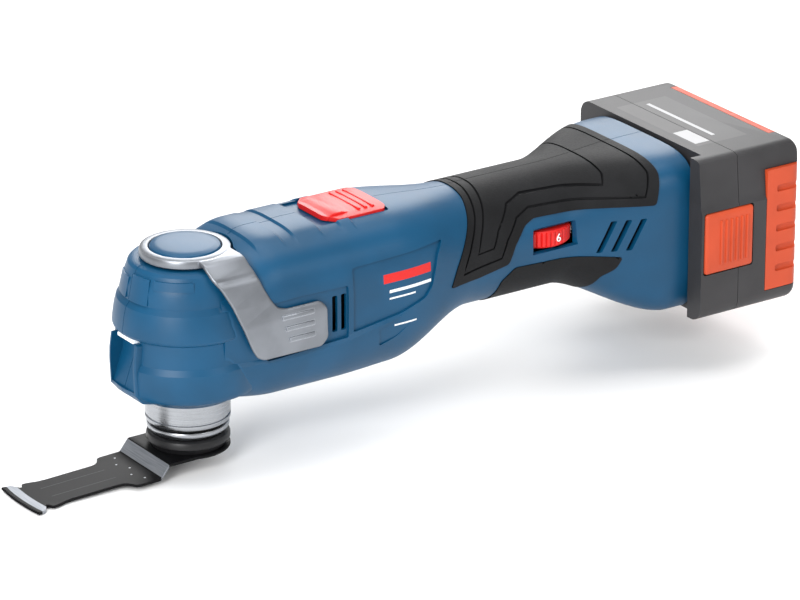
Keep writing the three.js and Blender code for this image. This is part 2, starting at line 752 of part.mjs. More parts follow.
function bladePlan() {
  const upper = [
    [-BLADE_BEND + 3, SHOULDER_HALF],
    [-SHOULDER_END + 1, SHOULDER_HALF],
    [-SHOULDER_END - 1, SHOULDER_HALF - 1.5],
    [-SHOULDER_END - 2.5, SHOULDER_HALF - 4],
    [-WAIST_START, WAIST_HALF],
    [-WAIST_END, WAIST_HALF],
    [-CUT_START + 4, FLARE_HALF],
    [-CUT_START + 2.2, FLARE_HALF],
    [-CUT_START + 1.2, FLARE_HALF - NOTCH_DEPTH],
    [-CUT_START, FLARE_HALF - NOTCH_DEPTH],
    [-CUT_START - 2.4, CUT_HALF - 1],
  ];
  const lower = upper.map(([x, y]) => [x, -y]).reverse();
  return outline([[0, SHOULDER_HALF], ...upper, ...cuttingEdge(), ...lower, [0, -SHOULDER_HALF]]);
}

function blade() {
  const t = BLADE_THICKNESS;
  const bendEnd = BLADE_BEND + BEND_RUN;
  const low = FLANGE_TOP - BLADE_OFFSET;
  const tip = CUT_END + 5;
  const drop = (tip - bendEnd) * BLADE_DROOP;
  const side = prism('y', outline([
    [25, FLANGE_TOP], [25, FLANGE_TOP - t], [-BLADE_BEND - 0.5, FLANGE_TOP - t],
    [-bendEnd - 0.5, low - t], [-tip, low - t - drop], [-tip, low - drop],
    [-bendEnd, low], [-BLADE_BEND, FLANGE_TOP],
  ]), -30, 30);
  const plan = prism('z', bladePlan(), FLANGE_TOP - 20, FLANGE_TOP + 2);
  const flange = rod('z', HUB_RADIUS, FLANGE_TOP - t, FLANGE_TOP, 32);
  const bore = rod('z', BLADE_BORE, FLANGE_TOP - 10, FLANGE_TOP + 5, 24);
  return side.intersect(plan).add(flange).subtract(bore);
}

// ---------------------------------------------------------------- motor

const MOTOR_END = MOTOR_START + MOTOR_LENGTH;
const MOTOR_SHELL = 1.3;
const BRACKET_END = MOTOR_END + 9;
const SHAFT_END = BRACKET_END + 2;
const FAN_BLADES = 11;

function stator() {
  const bore = ROTOR_RADIUS + 0.6;
  const slots = [];
  for (let i = 0; i < 6; i += 1) {
    const slot = box(MOTOR_START - 1, MOTOR_END + 1, -1.2, 1.2, bore - 2, MOTOR_RADIUS - 4);
    slots.push(slot.rotate([60 * i, 0, 0]));
  }
  return cut(tube('x', MOTOR_RADIUS, bore, MOTOR_START, MOTOR_END), slots);
}

function motorHousing() {
  const inner = MOTOR_RADIUS + GAP;
  const outer = inner + MOTOR_SHELL;
  const wall = tube('x', outer, inner, MOTOR_START - 2, BRACKET_END);
  const plate = tube('x', inner + 0.5, MOTOR_BEARING_RADIUS + GAP, BRACKET_END - 7, BRACKET_END);
  return wall.add(plate);
}

function rotorShaft() {
  const shaft = rod('x', SHAFT_RADIUS, ECCENTRIC_X - 2, SHAFT_END, 16);
  const journal = rod('x', JOURNAL_RADIUS, ECCENTRIC_X - 3.5, ECCENTRIC_X + 3.5, 16);
  return shaft.add(journal.translate([0, 0, ECCENTRICITY]));
}

function eccentricBearing() {
  const start = ECCENTRIC_X - BEARING_WIDTH / 2;
  const ring = bearing('x', JOURNAL_RADIUS, ECCENTRIC_OUTER, start);
  return ring.translate([0, 0, ECCENTRICITY]);
}

function balanceWeight() {
  const x = ECCENTRIC_X + 4.2;
  const disc = tube('x', 11, SHAFT_RADIUS + GAP, x, x + 3, 24);
  return disc.subtract(box(x - 1, x + 4, -12, 12, 4.5, 12));
}

function coolingFan() {
  const hub = tube('x', 6, SHAFT_RADIUS + GAP, FAN_X, FAN_X + FAN_WIDTH, 11);
  const plate = tube('x', FAN_RADIUS, 5, FAN_X + FAN_WIDTH - 1, FAN_X + FAN_WIDTH, 22);
  const vanes = [];
  for (let i = 0; i < FAN_BLADES; i += 1) {
    const vane = box(FAN_X, FAN_X + FAN_WIDTH - 0.5, -0.5, 0.5, 5, FAN_RADIUS);
    vanes.push(vane.rotate([(360 * i) / FAN_BLADES, 0, 0]));
  }
  return join([hub, plate, ...vanes]);
}

// ---------------------------------------------------------------- controls

const BOARD = { start: 116, end: 186, half: 18, z: -6, thickness: 1.6 };
const SWITCH_START = 116;

function powerSlider() {
  const x1 = SLIDER_START + SLIDER_LENGTH;
  const shape = roundedOutline(SLIDER_START, x1, -SLIDER_HALF, SLIDER_HALF, 2.5);
  const pad = barrel(-SLIDER_RISE, FRONT_START, GRIP_START).intersect(
    prism('z', shape, SLIDER_FLOOR + GAP, SLIDER_TOP + 5, 3));
  const stem = box(STEM_START, STEM_START + STEM_LENGTH, -STEM_HALF, STEM_HALF,
    LINK_TOP + GAP, SLIDER_FLOOR + 1);
  return pad.add(stem);
}

// Bar over the motor, which steps to the switch's height behind it.
function sliderLink() {
  const step = BRACKET_END + 1;
  const low = Math.min(LINK_BOTTOM, LINK_REAR);
  const high = Math.max(LINK_BOTTOM, LINK_REAR) + LINK_THICKNESS;
  return join([
    box(STEM_START - 1, step + 3, -3, 3, LINK_BOTTOM, LINK_TOP),
    box(step, step + 3, -3, 3, low, high),
    box(step, SWITCH_START + 9, -3, 3, LINK_REAR, LINK_REAR + LINK_THICKNESS),
  ]);
}

function powerSwitch() {
  const top = LINK_REAR - GAP;
  const body = box(SWITCH_START, SWITCH_START + 22, -8, 8, 11, top - 3);
  return body.add(box(SWITCH_START + 3, SWITCH_START + 8, -2, 2, top - 4, top));
}

function controlBoard() {
  const { start, end, half, z, thickness } = BOARD;
  const board = box(start, end, -half, half, z, z + thickness);
  const parts = [0, 1, 2].map((i) => {
    const x = start + 5 + i * 9;
    return box(x, x + 6, 2, 12, z + 1, z + 5);
  });
  const capacitor = rod('x', 4, start + 6, start + 22, 12).translate([0, -9, z + thickness + 3.8]);
  return join([board, ...parts, capacitor]);
}

function heatSink() {
  const { start, end, half, z } = BOARD;
  return box(start, end - 20, -half + 2, half - 2, z - GAP - 2.2, z - GAP);
}

function dialPotentiometer() {
  const floor = BOARD.z + BOARD.thickness + GAP;
  const base = rod('z', 6, floor, DIAL_BOTTOM - GAP, 12);
  const shaft = rod('z', 2.5, floor, DIAL_BOTTOM + DIAL_HEIGHT - 1, 12);
  return base.add(shaft).translate([DIAL_X, DIAL_Y, 0]);
}

function speedDial() {
  const rim = [];
  const teeth = 30;
  for (let i = 0; i < 2 * teeth; i += 1) {
    const angle = (Math.PI * i) / teeth;
    const r = DIAL_RADIUS - (i % 2 === 0 ? 0 : 0.5);
    rim.push([r * Math.cos(angle), r * Math.sin(angle)]);
  }
  const wheel = prism('z', outline(rim), DIAL_BOTTOM, DIAL_BOTTOM + DIAL_HEIGHT);
  const bore = rod('z', 2.8, DIAL_BOTTOM - 1, DIAL_BOTTOM + DIAL_HEIGHT + 1, 12);
  return wheel.subtract(bore).translate([DIAL_X, DIAL_Y, 0]);
}

// ---------------------------------------------------------------- battery interface

const PACK_MIDDLE = (PACK_UP - PACK_DOWN) / 2;
const RAIL_LENGTH = 66;
const RAIL_NECK = 2;
const RAIL_HEAD = 4.5;
const TERMINAL_OFFSET = 8;
const TERMINAL_REACH = 10;

// T rails above and below the middle, grown by a clearance for the grooves they run in.
function rails(clearance, from, to) {
  return [-1, 1].map((side) => {
    const middle = PACK_MIDDLE + side * RAIL_HALF;
    const start = REAR_X - 3;
    const neck = box(start, REAR_X + RAIL_REACH + clearance, from, to,
      middle - RAIL_NECK - clearance, middle + RAIL_NECK + clearance);
    const crown = box(REAR_X + RAIL_REACH - 3 - clearance, REAR_X + RAIL_REACH + clearance,
      from, to, middle - RAIL_HEAD - clearance, middle + RAIL_HEAD + clearance);
    return neck.add(crown);
  });
}

function terminal(side, clearance, from, to) {
  const z = PACK_MIDDLE + side * TERMINAL_OFFSET;
  return box(REAR_X - 9 - clearance, REAR_X + TERMINAL_REACH + clearance, from, to,
    z - 0.5 - clearance, z + 0.5 + clearance);
}

function batterySocket() {
  const base = mouthForm(GAP, REAR_X - 11, REAR_X + 1);
  const pins = [-1, 1].map((side) => terminal(side, GAP, -10 - GAP, 10 + GAP));
  return cut(base.add(join(rails(0, -RAIL_LENGTH / 2, RAIL_LENGTH / 2))), pins);
}

// ---------------------------------------------------------------- battery pack

const PACK_SEAM = PACK_FRONT + PACK_SPLIT;
const PACK_LIP = 6; // how far the near end reaches forward past the housing's side
const PACK_CORNER = 9;
const BUTTON = { start: REAR_X - 2, end: REAR_X + 25, up: 12, down: 17, proud: 1.2, depth: 2.8 };
const BUMPER_START = PACK_BACK - 19;
const BUMPER_STRIP = PACK_BACK - 7;
const BUMPER_UP = 26;
const BUMPER_DOWN = 32;
const FIN_COUNT = 6;
const FIN_GAP = 2.8;
const FIN_DEPTH = 1.2;

function packForm(inset, from, to, corner = PACK_CORNER) {
  const shape = roundedOutline(PACK_NEAR + inset, PACK_FAR - inset,
    -PACK_DOWN + inset, PACK_UP - inset, corner);
  const across = prism('x', shape, from, to, 3);
  const plan = outline([
    [from, PACK_NEAR + inset], [PACK_BACK - 9, PACK_NEAR + inset],
    [PACK_BACK - inset, PACK_NEAR + 9], [PACK_BACK - inset, PACK_FAR - 9],
    [PACK_BACK - 9, PACK_FAR - inset], [from, PACK_FAR - inset],
  ]);
  return across.intersect(prism('z', plan, -PACK_DOWN - 1, PACK_UP + 1));
}

function buttonWell(clearance) {
  const shape = roundedOutline(BUTTON.start - clearance, BUTTON.end + clearance,
    -BUTTON.down - clearance, BUTTON.up + clearance, 2);
  const depth = clearance > 0 ? BUTTON.depth + BUTTON_TRAVEL + clearance : BUTTON.depth;
  const out = clearance > 0 ? 5 : BUTTON.proud;
  return prism('y', shape, PACK_NEAR - out, PACK_NEAR + depth, 2);
}

function packCover() {
  const lip = packForm(0, PACK_FRONT - PACK_LIP, PACK_FRONT + 2).intersect(
    box(0, 400, PACK_NEAR - 1, -REAR.half - 2 * GAP, -60, 60));
  const block = packForm(0, PACK_FRONT, PACK_SEAM).add(lip);
  const hollow = box(PACK_SEAM - 3, PACK_SEAM + 1, PACK_NEAR + PACK_CORNER + 4,
    PACK_FAR - PACK_CORNER, -PACK_DOWN + PACK_CORNER, PACK_UP - PACK_CORNER);
  const pins = [-1, 1].map((side) => terminal(side, 1, -12, PACK_FAR + 1));
  return cut(block, [
    ...rails(0.5, -RAIL_LENGTH / 2 - 1, PACK_FAR + 1), ...pins, buttonWell(GAP), hollow,
  ]);
}

function bumperZone(clearance) {
  const from = BUMPER_START - clearance;
  const fins = box(from, PACK_BACK + 5, PACK_NEAR - 5, PACK_FAR + 5,
    -BUMPER_DOWN - clearance, BUMPER_UP + clearance);
  const strip = box(BUMPER_STRIP - clearance, PACK_BACK + 5, -36 - clearance, 38 + clearance,
    -PACK_DOWN - 5, PACK_UP + 5);
  const core = packForm(PACK_WALL + clearance, PACK_SEAM - 5, PACK_BACK - 5 - clearance);
  return fins.add(strip).subtract(core);
}

function packBase() {
  const body = packForm(0, PACK_SEAM + GAP, PACK_BACK);
  const inside = packForm(PACK_WALL * 2, PACK_SEAM - 5, PACK_BACK - 10, 2);
  return cut(body, [inside, bumperZone(GAP), buttonWell(GAP)]);
}

function packBumper() {
  const pitch = (BUMPER_UP + BUMPER_DOWN) / FIN_COUNT;
  const gaps = [];
  for (let i = 1; i < FIN_COUNT; i += 1) {
    const z = -BUMPER_DOWN + i * pitch;
    const [low, high] = [z - FIN_GAP / 2, z + FIN_GAP / 2];
    const start = BUMPER_START + 7;
    gaps.push(
      box(start, PACK_BACK - 1, PACK_NEAR - 1, PACK_NEAR + FIN_DEPTH, low, high),
      box(start, PACK_BACK - 1, PACK_FAR - FIN_DEPTH, PACK_FAR + 1, low, high),
      box(PACK_BACK - FIN_DEPTH, PACK_BACK + 1, PACK_NEAR + 8, PACK_FAR - 8, low, high));
  }
  const form = packForm(0, BUMPER_START, PACK_BACK).intersect(bumperZone(0));
  return cut(form, gaps);
}

function packCell(i) {
  const y = PACK_NEAR + 2 * PACK_WALL + CELL_PITCH * (i + 0.5);
  const z = PACK_MIDDLE - CELL_LENGTH / 2;
  const can = rod('z', CELL_RADIUS - 0.2, z, z + CELL_LENGTH - 1, 16);
  return can.add(rod('z', 3, z + 1, z + CELL_LENGTH, 12)).translate([PACK_SEAM + 12, y, 0]);
}

function releaseButton() {
  const ribs = [];
  for (let i = 0; i < 6; i += 1) {
    const x = BUTTON.start + 9 + i * 2.6;
    const out = PACK_NEAR - BUTTON.proud - 0.5;
    ribs.push(box(x, x + 1.1, out, PACK_NEAR, -BUTTON.down + 3, BUTTON.up - 3));
  }
  return join([buttonWell(0), ...ribs]);
}

// ---------------------------------------------------------------- assembly

const tool = new THREE.Group();
tool.position.set(0, 0, AXIS_HEIGHT);

function place(parent, pieces) {
  for (const [name, shape, material] of pieces) {
    parent.add(named(name, shape, material));
  }
}

function group(name) {
  const child = new THREE.Group();
  child.name = name;
  tool.add(child);
  return child;
}

place(group('housing'), [
  ['left_housing', housingHalf(-1), BLUE],
  ['right_housing', housingHalf(1), BLUE],
  ['left_grip', overmould(GRIP_OUTLINE, -1), BLACK_RUBBER],
  ['right_grip', overmould(GRIP_OUTLINE, 1), BLACK_RUBBER],
  ['left_belly_grip', overmould(BELLY_OUTLINE, -1), BLACK_RUBBER],
  ['right_belly_grip', overmould(BELLY_OUTLINE, 1), BLACK_RUBBER],
  ['led_lens', ledLens(), WHITE],
  ['led_board', ledBoard(), GREEN],
]);

const screws = group('housing screws');
SCREWS.forEach(([x, z], i) => {
  const mesh = named(`housing_screw_${i + 1}`, screw(), STEEL);
  mesh.position.set(x, 0, z);
  screws.add(mesh);
});

place(group('gearbox'), [
  ['gearbox_housing', gearboxHousing(), SILVER],
  ['upper_spindle_bearing', bearing('z', SPINDLE_RADIUS, UPPER_BEARING_RADIUS, UPPER_BEARING_Z), STEEL],
  ['lower_spindle_bearing', bearing('z', SPINDLE_RADIUS, LOWER_BEARING_RADIUS, LOWER_BEARING_Z), STEEL],
  ['neck_seal', neckSeal(), BLACK_RUBBER],
]);

place(group('spindle'), [
  ['spindle', spindle(), STEEL],
  ['fork_lever', forkLever(), STEEL],
  ['tool_holder', toolHolder(), SILVER],
]);

place(group('clamp'), [
  ['clamp_rod', clampRod(), STEEL],
  ['clamp_spring', clampSpring(), STEEL],
]);

place(group('blade'), [
  ['blade', blade(), BLADE_BLACK],
  ['blade_hub', bladeHub(), BLADE_BLACK],
]);

place(group('lever'), [
  ['clamp_lever', clampLever(), SILVER],
  ['lever_cap', leverCap(), BLUE],
  ['lever_cam', leverCam(), STEEL],
]);

place(group('motor'), [
  ['stator', stator(), COPPER],
  ['motor_housing', motorHousing(), BLACK_PLASTIC],
  ['front_motor_bearing', bearing('x', SHAFT_RADIUS, MOTOR_BEARING_RADIUS, MOTOR_BEARING_X), STEEL],
  ['rear_motor_bearing', bearing('x', SHAFT_RADIUS, MOTOR_BEARING_RADIUS, BRACKET_END - 6.5), STEEL],
]);

place(group('rotor'), [
  ['rotor_shaft', rotorShaft(), STEEL],
  ['rotor_core', tube('x', ROTOR_RADIUS, SHAFT_RADIUS + GAP, MOTOR_START, MOTOR_END), STEEL],
  ['cooling_fan', coolingFan(), BLACK_PLASTIC],
  ['balance_weight', balanceWeight(), STEEL],
  ['eccentric_bearing', eccentricBearing(), STEEL],
]);

place(group('controls'), [
  ['power_slider', powerSlider(), RED],
  ['slider_link', sliderLink(), BLACK_PLASTIC],
  ['power_switch', powerSwitch(), BLACK_PLASTIC],
  ['speed_dial', speedDial(), RED],
  ['dial_potentiometer', dialPotentiometer(), BLACK_PLASTIC],
  ['control_board', controlBoard(), GREEN],
  ['heat_sink', heatSink(), SILVER],
]);

place(group('battery interface'), [
  ['battery_socket', batterySocket(), BLACK_PLASTIC],
  ['terminal_plus', terminal(1, 0, -10, 10), COPPER],
  ['terminal_minus', terminal(-1, 0, -10, 10), COPPER],
]);

const pack = group('battery pack');
place(pack, [
  ['pack_cover', packCover(), PACK_GREY],
  ['pack_base', packBase(), PACK_GREY],
  ['pack_bumper', packBumper(), ORANGE],
  ['release_button', releaseButton(), ORANGE],
]);
for (let i = 0; i < CELL_COUNT; i += 1) {
  place(pack, [[`cell_${i + 1}`, packCell(i), CELL_WRAP]]);
}

export default tool;
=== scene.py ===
"""Studio scene of a cordless oscillating multi tool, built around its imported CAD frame.

Pieces are drawn in millimetres from the barrel's centreline: X runs back along the barrel,
Z runs up along the spindle, and -Y is the side with the clamping lever.
"""

import json
import math

import bmesh
import bpy
from mathutils import Matrix, Vector


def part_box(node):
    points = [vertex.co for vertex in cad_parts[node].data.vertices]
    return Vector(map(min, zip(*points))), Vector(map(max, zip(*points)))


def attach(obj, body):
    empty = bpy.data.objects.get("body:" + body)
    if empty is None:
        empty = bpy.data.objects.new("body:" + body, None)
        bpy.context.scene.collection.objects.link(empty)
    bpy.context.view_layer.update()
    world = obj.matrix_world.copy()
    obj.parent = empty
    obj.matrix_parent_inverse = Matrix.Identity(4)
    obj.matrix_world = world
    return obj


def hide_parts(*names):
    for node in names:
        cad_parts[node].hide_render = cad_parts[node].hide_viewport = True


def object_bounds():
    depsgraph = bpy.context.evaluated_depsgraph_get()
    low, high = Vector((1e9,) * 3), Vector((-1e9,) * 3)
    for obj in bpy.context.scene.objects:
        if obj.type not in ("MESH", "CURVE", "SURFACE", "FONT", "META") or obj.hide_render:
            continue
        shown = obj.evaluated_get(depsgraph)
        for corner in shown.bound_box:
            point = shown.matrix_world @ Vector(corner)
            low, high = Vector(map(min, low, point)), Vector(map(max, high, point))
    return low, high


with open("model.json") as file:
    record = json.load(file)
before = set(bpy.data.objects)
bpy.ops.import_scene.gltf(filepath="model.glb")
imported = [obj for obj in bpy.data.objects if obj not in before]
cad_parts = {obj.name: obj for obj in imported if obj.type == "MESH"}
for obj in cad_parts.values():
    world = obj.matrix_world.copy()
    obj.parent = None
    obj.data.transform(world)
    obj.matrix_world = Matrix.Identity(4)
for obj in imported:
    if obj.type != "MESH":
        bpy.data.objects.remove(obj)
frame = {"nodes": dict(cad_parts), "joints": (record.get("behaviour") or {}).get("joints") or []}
cad_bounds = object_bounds()

# ------------------------------------------------------------------ places from the frame

MM = 0.001
JOINTS = {joint["name"]: joint for joint in frame["joints"]}
CENTRELINE = Vector(JOINTS["spindle_oscillation"]["pos_m"])


def span(node):
    """Lowest and highest corner of a CAD node, in millimetres from the centreline."""
    low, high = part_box(node)
    return (low - CENTRELINE) / MM, (high - CENTRELINE) / MM


def middle(node):
    low, high = span(node)
    return (low + high) / 2


HOUSING_HIGH = span("left_housing")[1]
NECK_LOW = span("gearbox_housing")[0]
HOLDER_LOW, HOLDER_HIGH = span("tool_holder")
HUB_LOW, HUB_HIGH = span("blade_hub")
LEVER_LOW = span("clamp_lever")[0]
CAP_LOW, CAP_HIGH = span("lever_cap")
SLIDER_LOW, SLIDER_HIGH = span("power_slider")
DIAL_LOW, DIAL_HIGH = span("speed_dial")
COVER_LOW, COVER_HIGH = span("pack_cover")
BASE_LOW, BASE_HIGH = span("pack_base")
BUMPER_LOW = span("pack_bumper")[0]
BUTTON_LOW, BUTTON_HIGH = span("release_button")
LENS_LOW, LENS_HIGH = span("led_lens")
FOOT_LOW, FOOT_HIGH = span("clamp_rod")
SCREWS = [f"housing_screw_{number}" for number in range(1, 8)]
SCREW_PLACES = [middle(screw) for screw in SCREWS]
DIAL_CENTRE = middle("speed_dial")
DIAL_RADIUS = (DIAL_HIGH.x - DIAL_LOW.x) / 2
RING_RADIUS = -LEVER_LOW.x

# ------------------------------------------------------------------ driving sizes

GAP = 0.3
WALL = 2.6
NECK_SECTION = (31.5, 28.0, 33.5, 2.8)  # half width, height up, height down, squareness
FRONT_SECTION = (34.0, 36.0, 36.0, 3.2)
GRIP_SECTION = (28.0, 33.0, 23.0, 2.1)
REAR_SECTION = (41.5, 36.0, 41.0, 5.0)
FRONT_START = 30.0
FRONT_END = 90.0
GRIP_START = 138.0
GRIP_END = 184.0
REAR_X = HOUSING_HIGH.x
FLARE_END = REAR_X - 8.0
RING_BOTTOM = CAP_LOW.z - GAP
HEAD_TOP = RING_BOTTOM - 0.6
HEAD_BOTTOM = -33.4
ACROSS = 70.0

# ------------------------------------------------------------------ mesh tools


def spun(bm, degrees, steps, merge):
    """Sweeps everything in the mesh about Z."""
    bmesh.ops.spin(
        bm, geom=bm.verts[:] + bm.edges[:] + bm.faces[:], axis=(0, 0, 1), cent=(0, 0, 0),
        angle=math.radians(degrees), steps=steps, use_merge=merge)


def turned_line(profile, ends, steps):
    bm = bmesh.new()
    verts = [bm.verts.new((radius, 0.0, height)) for radius, height in profile]
    for first, second in zip(verts, verts[1:] + ends * verts[:1]):
        bm.edges.new((first, second))
    spun(bm, 360, steps, True)
    bmesh.ops.remove_doubles(bm, verts=bm.verts, dist=1e-4)
    return bm


def lathe(profile, steps=96, axis="Z"):
    """Solid turned about an axis from (radius, height) points that start and end on the axis."""
    bm = turned_line(profile, 0, steps)
    if axis == "X":
        bmesh.ops.rotate(bm, verts=bm.verts, matrix=Matrix.Rotation(math.pi / 2, 3, "Y"))
    if axis == "Y":
        bmesh.ops.rotate(bm, verts=bm.verts, matrix=Matrix.Rotation(-math.pi / 2, 3, "X"))
    return outward(bm)


def rod(radius, low, high, steps=64, axis="Z"):
    return lathe([(0, low), (radius, low), (radius, high), (0, high)], steps, axis)


def ring(profile, steps=96):
    """Solid turned about Z from a closed loop of (radius, height) points."""
    return outward(turned_line(profile, 1, steps))


def outward(bm):
    bmesh.ops.recalc_face_normals(bm, faces=bm.faces)
    return bm


# For each axis, where an outline's two coordinates and its height go.
LAYOUT = {
    "X": Matrix(((0, 0, 1), (1, 0, 0), (0, 1, 0))),
    "Y": Matrix(((1, 0, 0), (0, 0, 1), (0, 1, 0))),
    "Z": Matrix.Identity(3),
}


def slab(axis, outline, start, end):
    """Prism of an outline (YZ, XZ or XY) between two places on an axis."""
    bm = bmesh.new()
    layout = LAYOUT[axis]
    face = bm.faces.new([bm.verts.new(layout @ Vector((u, v, start))) for u, v in outline])
    made = bmesh.ops.extrude_face_region(bm, geom=[face])["geom"]
    top = [part for part in made if isinstance(part, bmesh.types.BMVert)]
    bmesh.ops.translate(bm, verts=top, vec=layout @ Vector((0, 0, end - start)))
    return outward(bm)


def funnel(axis, mouth, floor, start, end):
    """Solid between two outlines of as many points, at two places on an axis."""
    bm = slab(axis, mouth, start, end)
    layout = LAYOUT[axis]
    bm.verts.ensure_lookup_table()
    for number, (u, v) in enumerate(floor):
        bm.verts[len(mouth) + number].co = layout @ Vector((u, v, end))
    return outward(bm)


def block(low, high, radius=0.0, segments=4):
    """Box between two corners, with its edges rounded."""
    low, high = Vector(low), Vector(high)
    bm = bmesh.new()
    bmesh.ops.create_cube(bm, size=1.0)
    bmesh.ops.scale(bm, verts=bm.verts, vec=high - low)
    bmesh.ops.translate(bm, verts=bm.verts, vec=(low + high) / 2)
    if radius:
        round_edges(bm, bm.edges[:], radius, segments)
    return bm


def round_edges(bm, edges, radius, segments=3):
    bmesh.ops.bevel(
        bm, geom=edges, offset=radius, offset_type="OFFSET", affect="EDGES", segments=segments,
        profile=0.5, material=-1, clamp_overlap=True)
    return bm


def sharp_edges(bm, degrees=40):
    limit = math.radians(degrees)
    return [edge for edge in bm.edges if edge.is_manifold and edge.calc_face_angle() > limit]


def moved(bm, x=0.0, y=0.0, z=0.0):
    bmesh.ops.translate(bm, verts=bm.verts, vec=(x, y, z))
    return bm


def turned(bm, degrees, axis, centre=(0, 0, 0)):
    bmesh.ops.rotate(
        bm, verts=bm.verts, cent=centre, matrix=Matrix.Rotation(math.radians(degrees), 3, axis))
    return bm


def temporary(bm):
    bmesh.ops.triangulate(bm, faces=bm.faces)
    mesh = bpy.data.meshes.new("temporary")
    bm.to_mesh(mesh)
    thing = bpy.data.objects.new("temporary", mesh)
    bpy.context.scene.collection.objects.link(thing)
    return thing


def joined(first, second, operation):
    """Boolean of two closed solids."""
    base, tool = temporary(first), temporary(second)
    modifier = base.modifiers.new("boolean", "BOOLEAN")
    modifier.operation = operation
    modifier.solver = "MANIFOLD"
    modifier.object = tool
    bpy.context.view_layer.update()
    result = base.evaluated_get(bpy.context.evaluated_depsgraph_get())
    bm = bmesh.new()
    bm.from_mesh(result.to_mesh())
    result.to_mesh_clear()
    for thing in (base, tool):
        mesh = thing.data
        bpy.data.objects.remove(thing)
        bpy.data.meshes.remove(mesh)
    return bm


def union(first, *others):
    for other in others:
        first = joined(first, other, "UNION")
    return first


def cut(first, *tools):
    for tool in tools:
        first = joined(first, tool, "DIFFERENCE")
    return first


def common(first, second):
    return joined(first, second, "INTERSECT")


# ------------------------------------------------------------------ outlines


def soft(points, radius, steps=4):
    """Outline with its corners rounded by curves that start radius away from each corner."""
    result = []
    for number, (x, y) in enumerate(points):
        corner = Vector((x, y))
        before = Vector(points[number - 1])
        after = Vector(points[(number + 1) % len(points)])
        reach_in = min(radius, (before - corner).length * 0.45)
        reach_out = min(radius, (after - corner).length * 0.45)
        start = corner + (before - corner).normalized() * reach_in
        end = corner + (after - corner).normalized() * reach_out
        for step in range(steps + 1):
            t = step / steps
            point = start * (1 - t) ** 2 + corner * 2 * t * (1 - t) + end * t * t
            result.append((point.x, point.y))
    return result


def grown(points, distance):
    """Outline moved out on every side, with its corners kept."""
    area = sum(
        points[i - 1][0] * points[i][1] - points[i][0] * points[i - 1][1]
        for i in range(len(points)))
    side = math.copysign(distance, area)
    result = []
    for number, (x, y) in enumerate(points):
        before = Vector(points[number - 1])
        after = Vector(points[(number + 1) % len(points)])
        here = Vector((x, y))
        a, b = (here - before).normalized(), (after - here).normalized()
        turn = side / (1 + a.dot(b))
        result.append((x + (a.y + b.y) * turn, y - (a.x + b.x) * turn))
    return result


def rectangle(x0, x1, y0, y1):
    return [(x0, y0), (x1, y0), (x1, y1), (x0, y1)]


# ------------------------------------------------------------------ barrel form


def ease(start, end, x):
    t = min(1.0, max(0.0, (x - start) / (end - start)))
    return t * t * (3 - 2 * t)


def between(first, second, t):
    return tuple(a + (b - a) * t for a, b in zip(first, second))


def section_at(x):
    """Half width, height up, height down and squareness of the barrel at x."""
    front = between(NECK_SECTION, FRONT_SECTION, ease(0, FRONT_START, x))
    middle = between(front, GRIP_SECTION, ease(FRONT_END, GRIP_START, x))
    return between(middle, REAR_SECTION, ease(GRIP_END, FLARE_END, x))


def polyline(points, x):
    """Height of a line through (x, height) points."""
    if x <= points[0][0]:
        return points[0][1]
    for (x0, h0), (x1, h1) in zip(points, points[1:]):
        if x <= x1:
            return h0 + (h1 - h0) * (x - x0) / (x1 - x0)
    return points[-1][1]


BELT_LINE = [(10, -14.0), (38, -14.3), (58, -13.0), (74, -10.4), (90, -7.9), (100, -5.8)]
BELT_HEIGHT = 1.7
BELT_PROUD = 1.4
BELT_END = 104.0
AROUND = 144
BELT_ANGLE = math.radians(-22.5)  # angle of the ring's vertex that follows the belt line
TOP_PADS = [(23.5, 37.0), (43.5, 57.0), (67.5, 74.0)]
PAD_RISE = 0.9
PAD_EDGE = 0.5


def belt_angles(x, half, centre):
    low = polyline(BELT_LINE, x)
    return (
        math.atan2(low - centre, half),
        math.atan2(low + BELT_HEIGHT - centre, half))


def follow_belt(angle, x, half, centre):
    """Angle of a ring vertex, shifted so that one row follows the belt line."""
    mirrored = math.cos(angle) < 0
    base = math.pi - angle if mirrored else angle
    base = math.atan2(math.sin(base), math.cos(base))
    step = 2 * math.pi / AROUND
    low, high = belt_angles(x, half, centre)
    stops = [
        (-math.pi / 2, -math.pi / 2), (BELT_ANGLE, low), (BELT_ANGLE + step, high),
        (math.pi / 2, math.pi / 2)]
    shifted = polyline(stops, base)
    return math.pi - shifted if mirrored else shifted


def belt_rise(x, z):
    if x > BELT_END:
        return 0.0
    low = polyline(BELT_LINE, x)
    share = min(1.0, max(0.0, (low + BELT_HEIGHT - z) / BELT_HEIGHT))
    return BELT_PROUD * share * (1 - ease(60, BELT_END, x))


def pad_rise(x, y, z):
    if z < 20:
        return 0.0
    rise = 0.0
    for start, end in TOP_PADS:
        up = ease(start - PAD_EDGE, start + PAD_EDGE, x)
        down = ease(end - PAD_EDGE, end + PAD_EDGE, x)
        rise += up * (1 - down)
    return PAD_RISE * rise * (1 - ease(15, 24, abs(y)))


def even_places(start, end, pitch):
    count = round((end - start) / pitch)
    return [start + (end - start) * step / count for step in range(count + 1)]


def detailed_places(start, end, pitch):
    """Even places, with more where a pad on the barrel's top starts or ends."""
    places = set(even_places(start, end, pitch))
    for edges in TOP_PADS:
        for edge in edges:
            places |= {edge - PAD_EDGE, edge, edge + PAD_EDGE}
    return sorted(x for x in places if start <= x <= end)


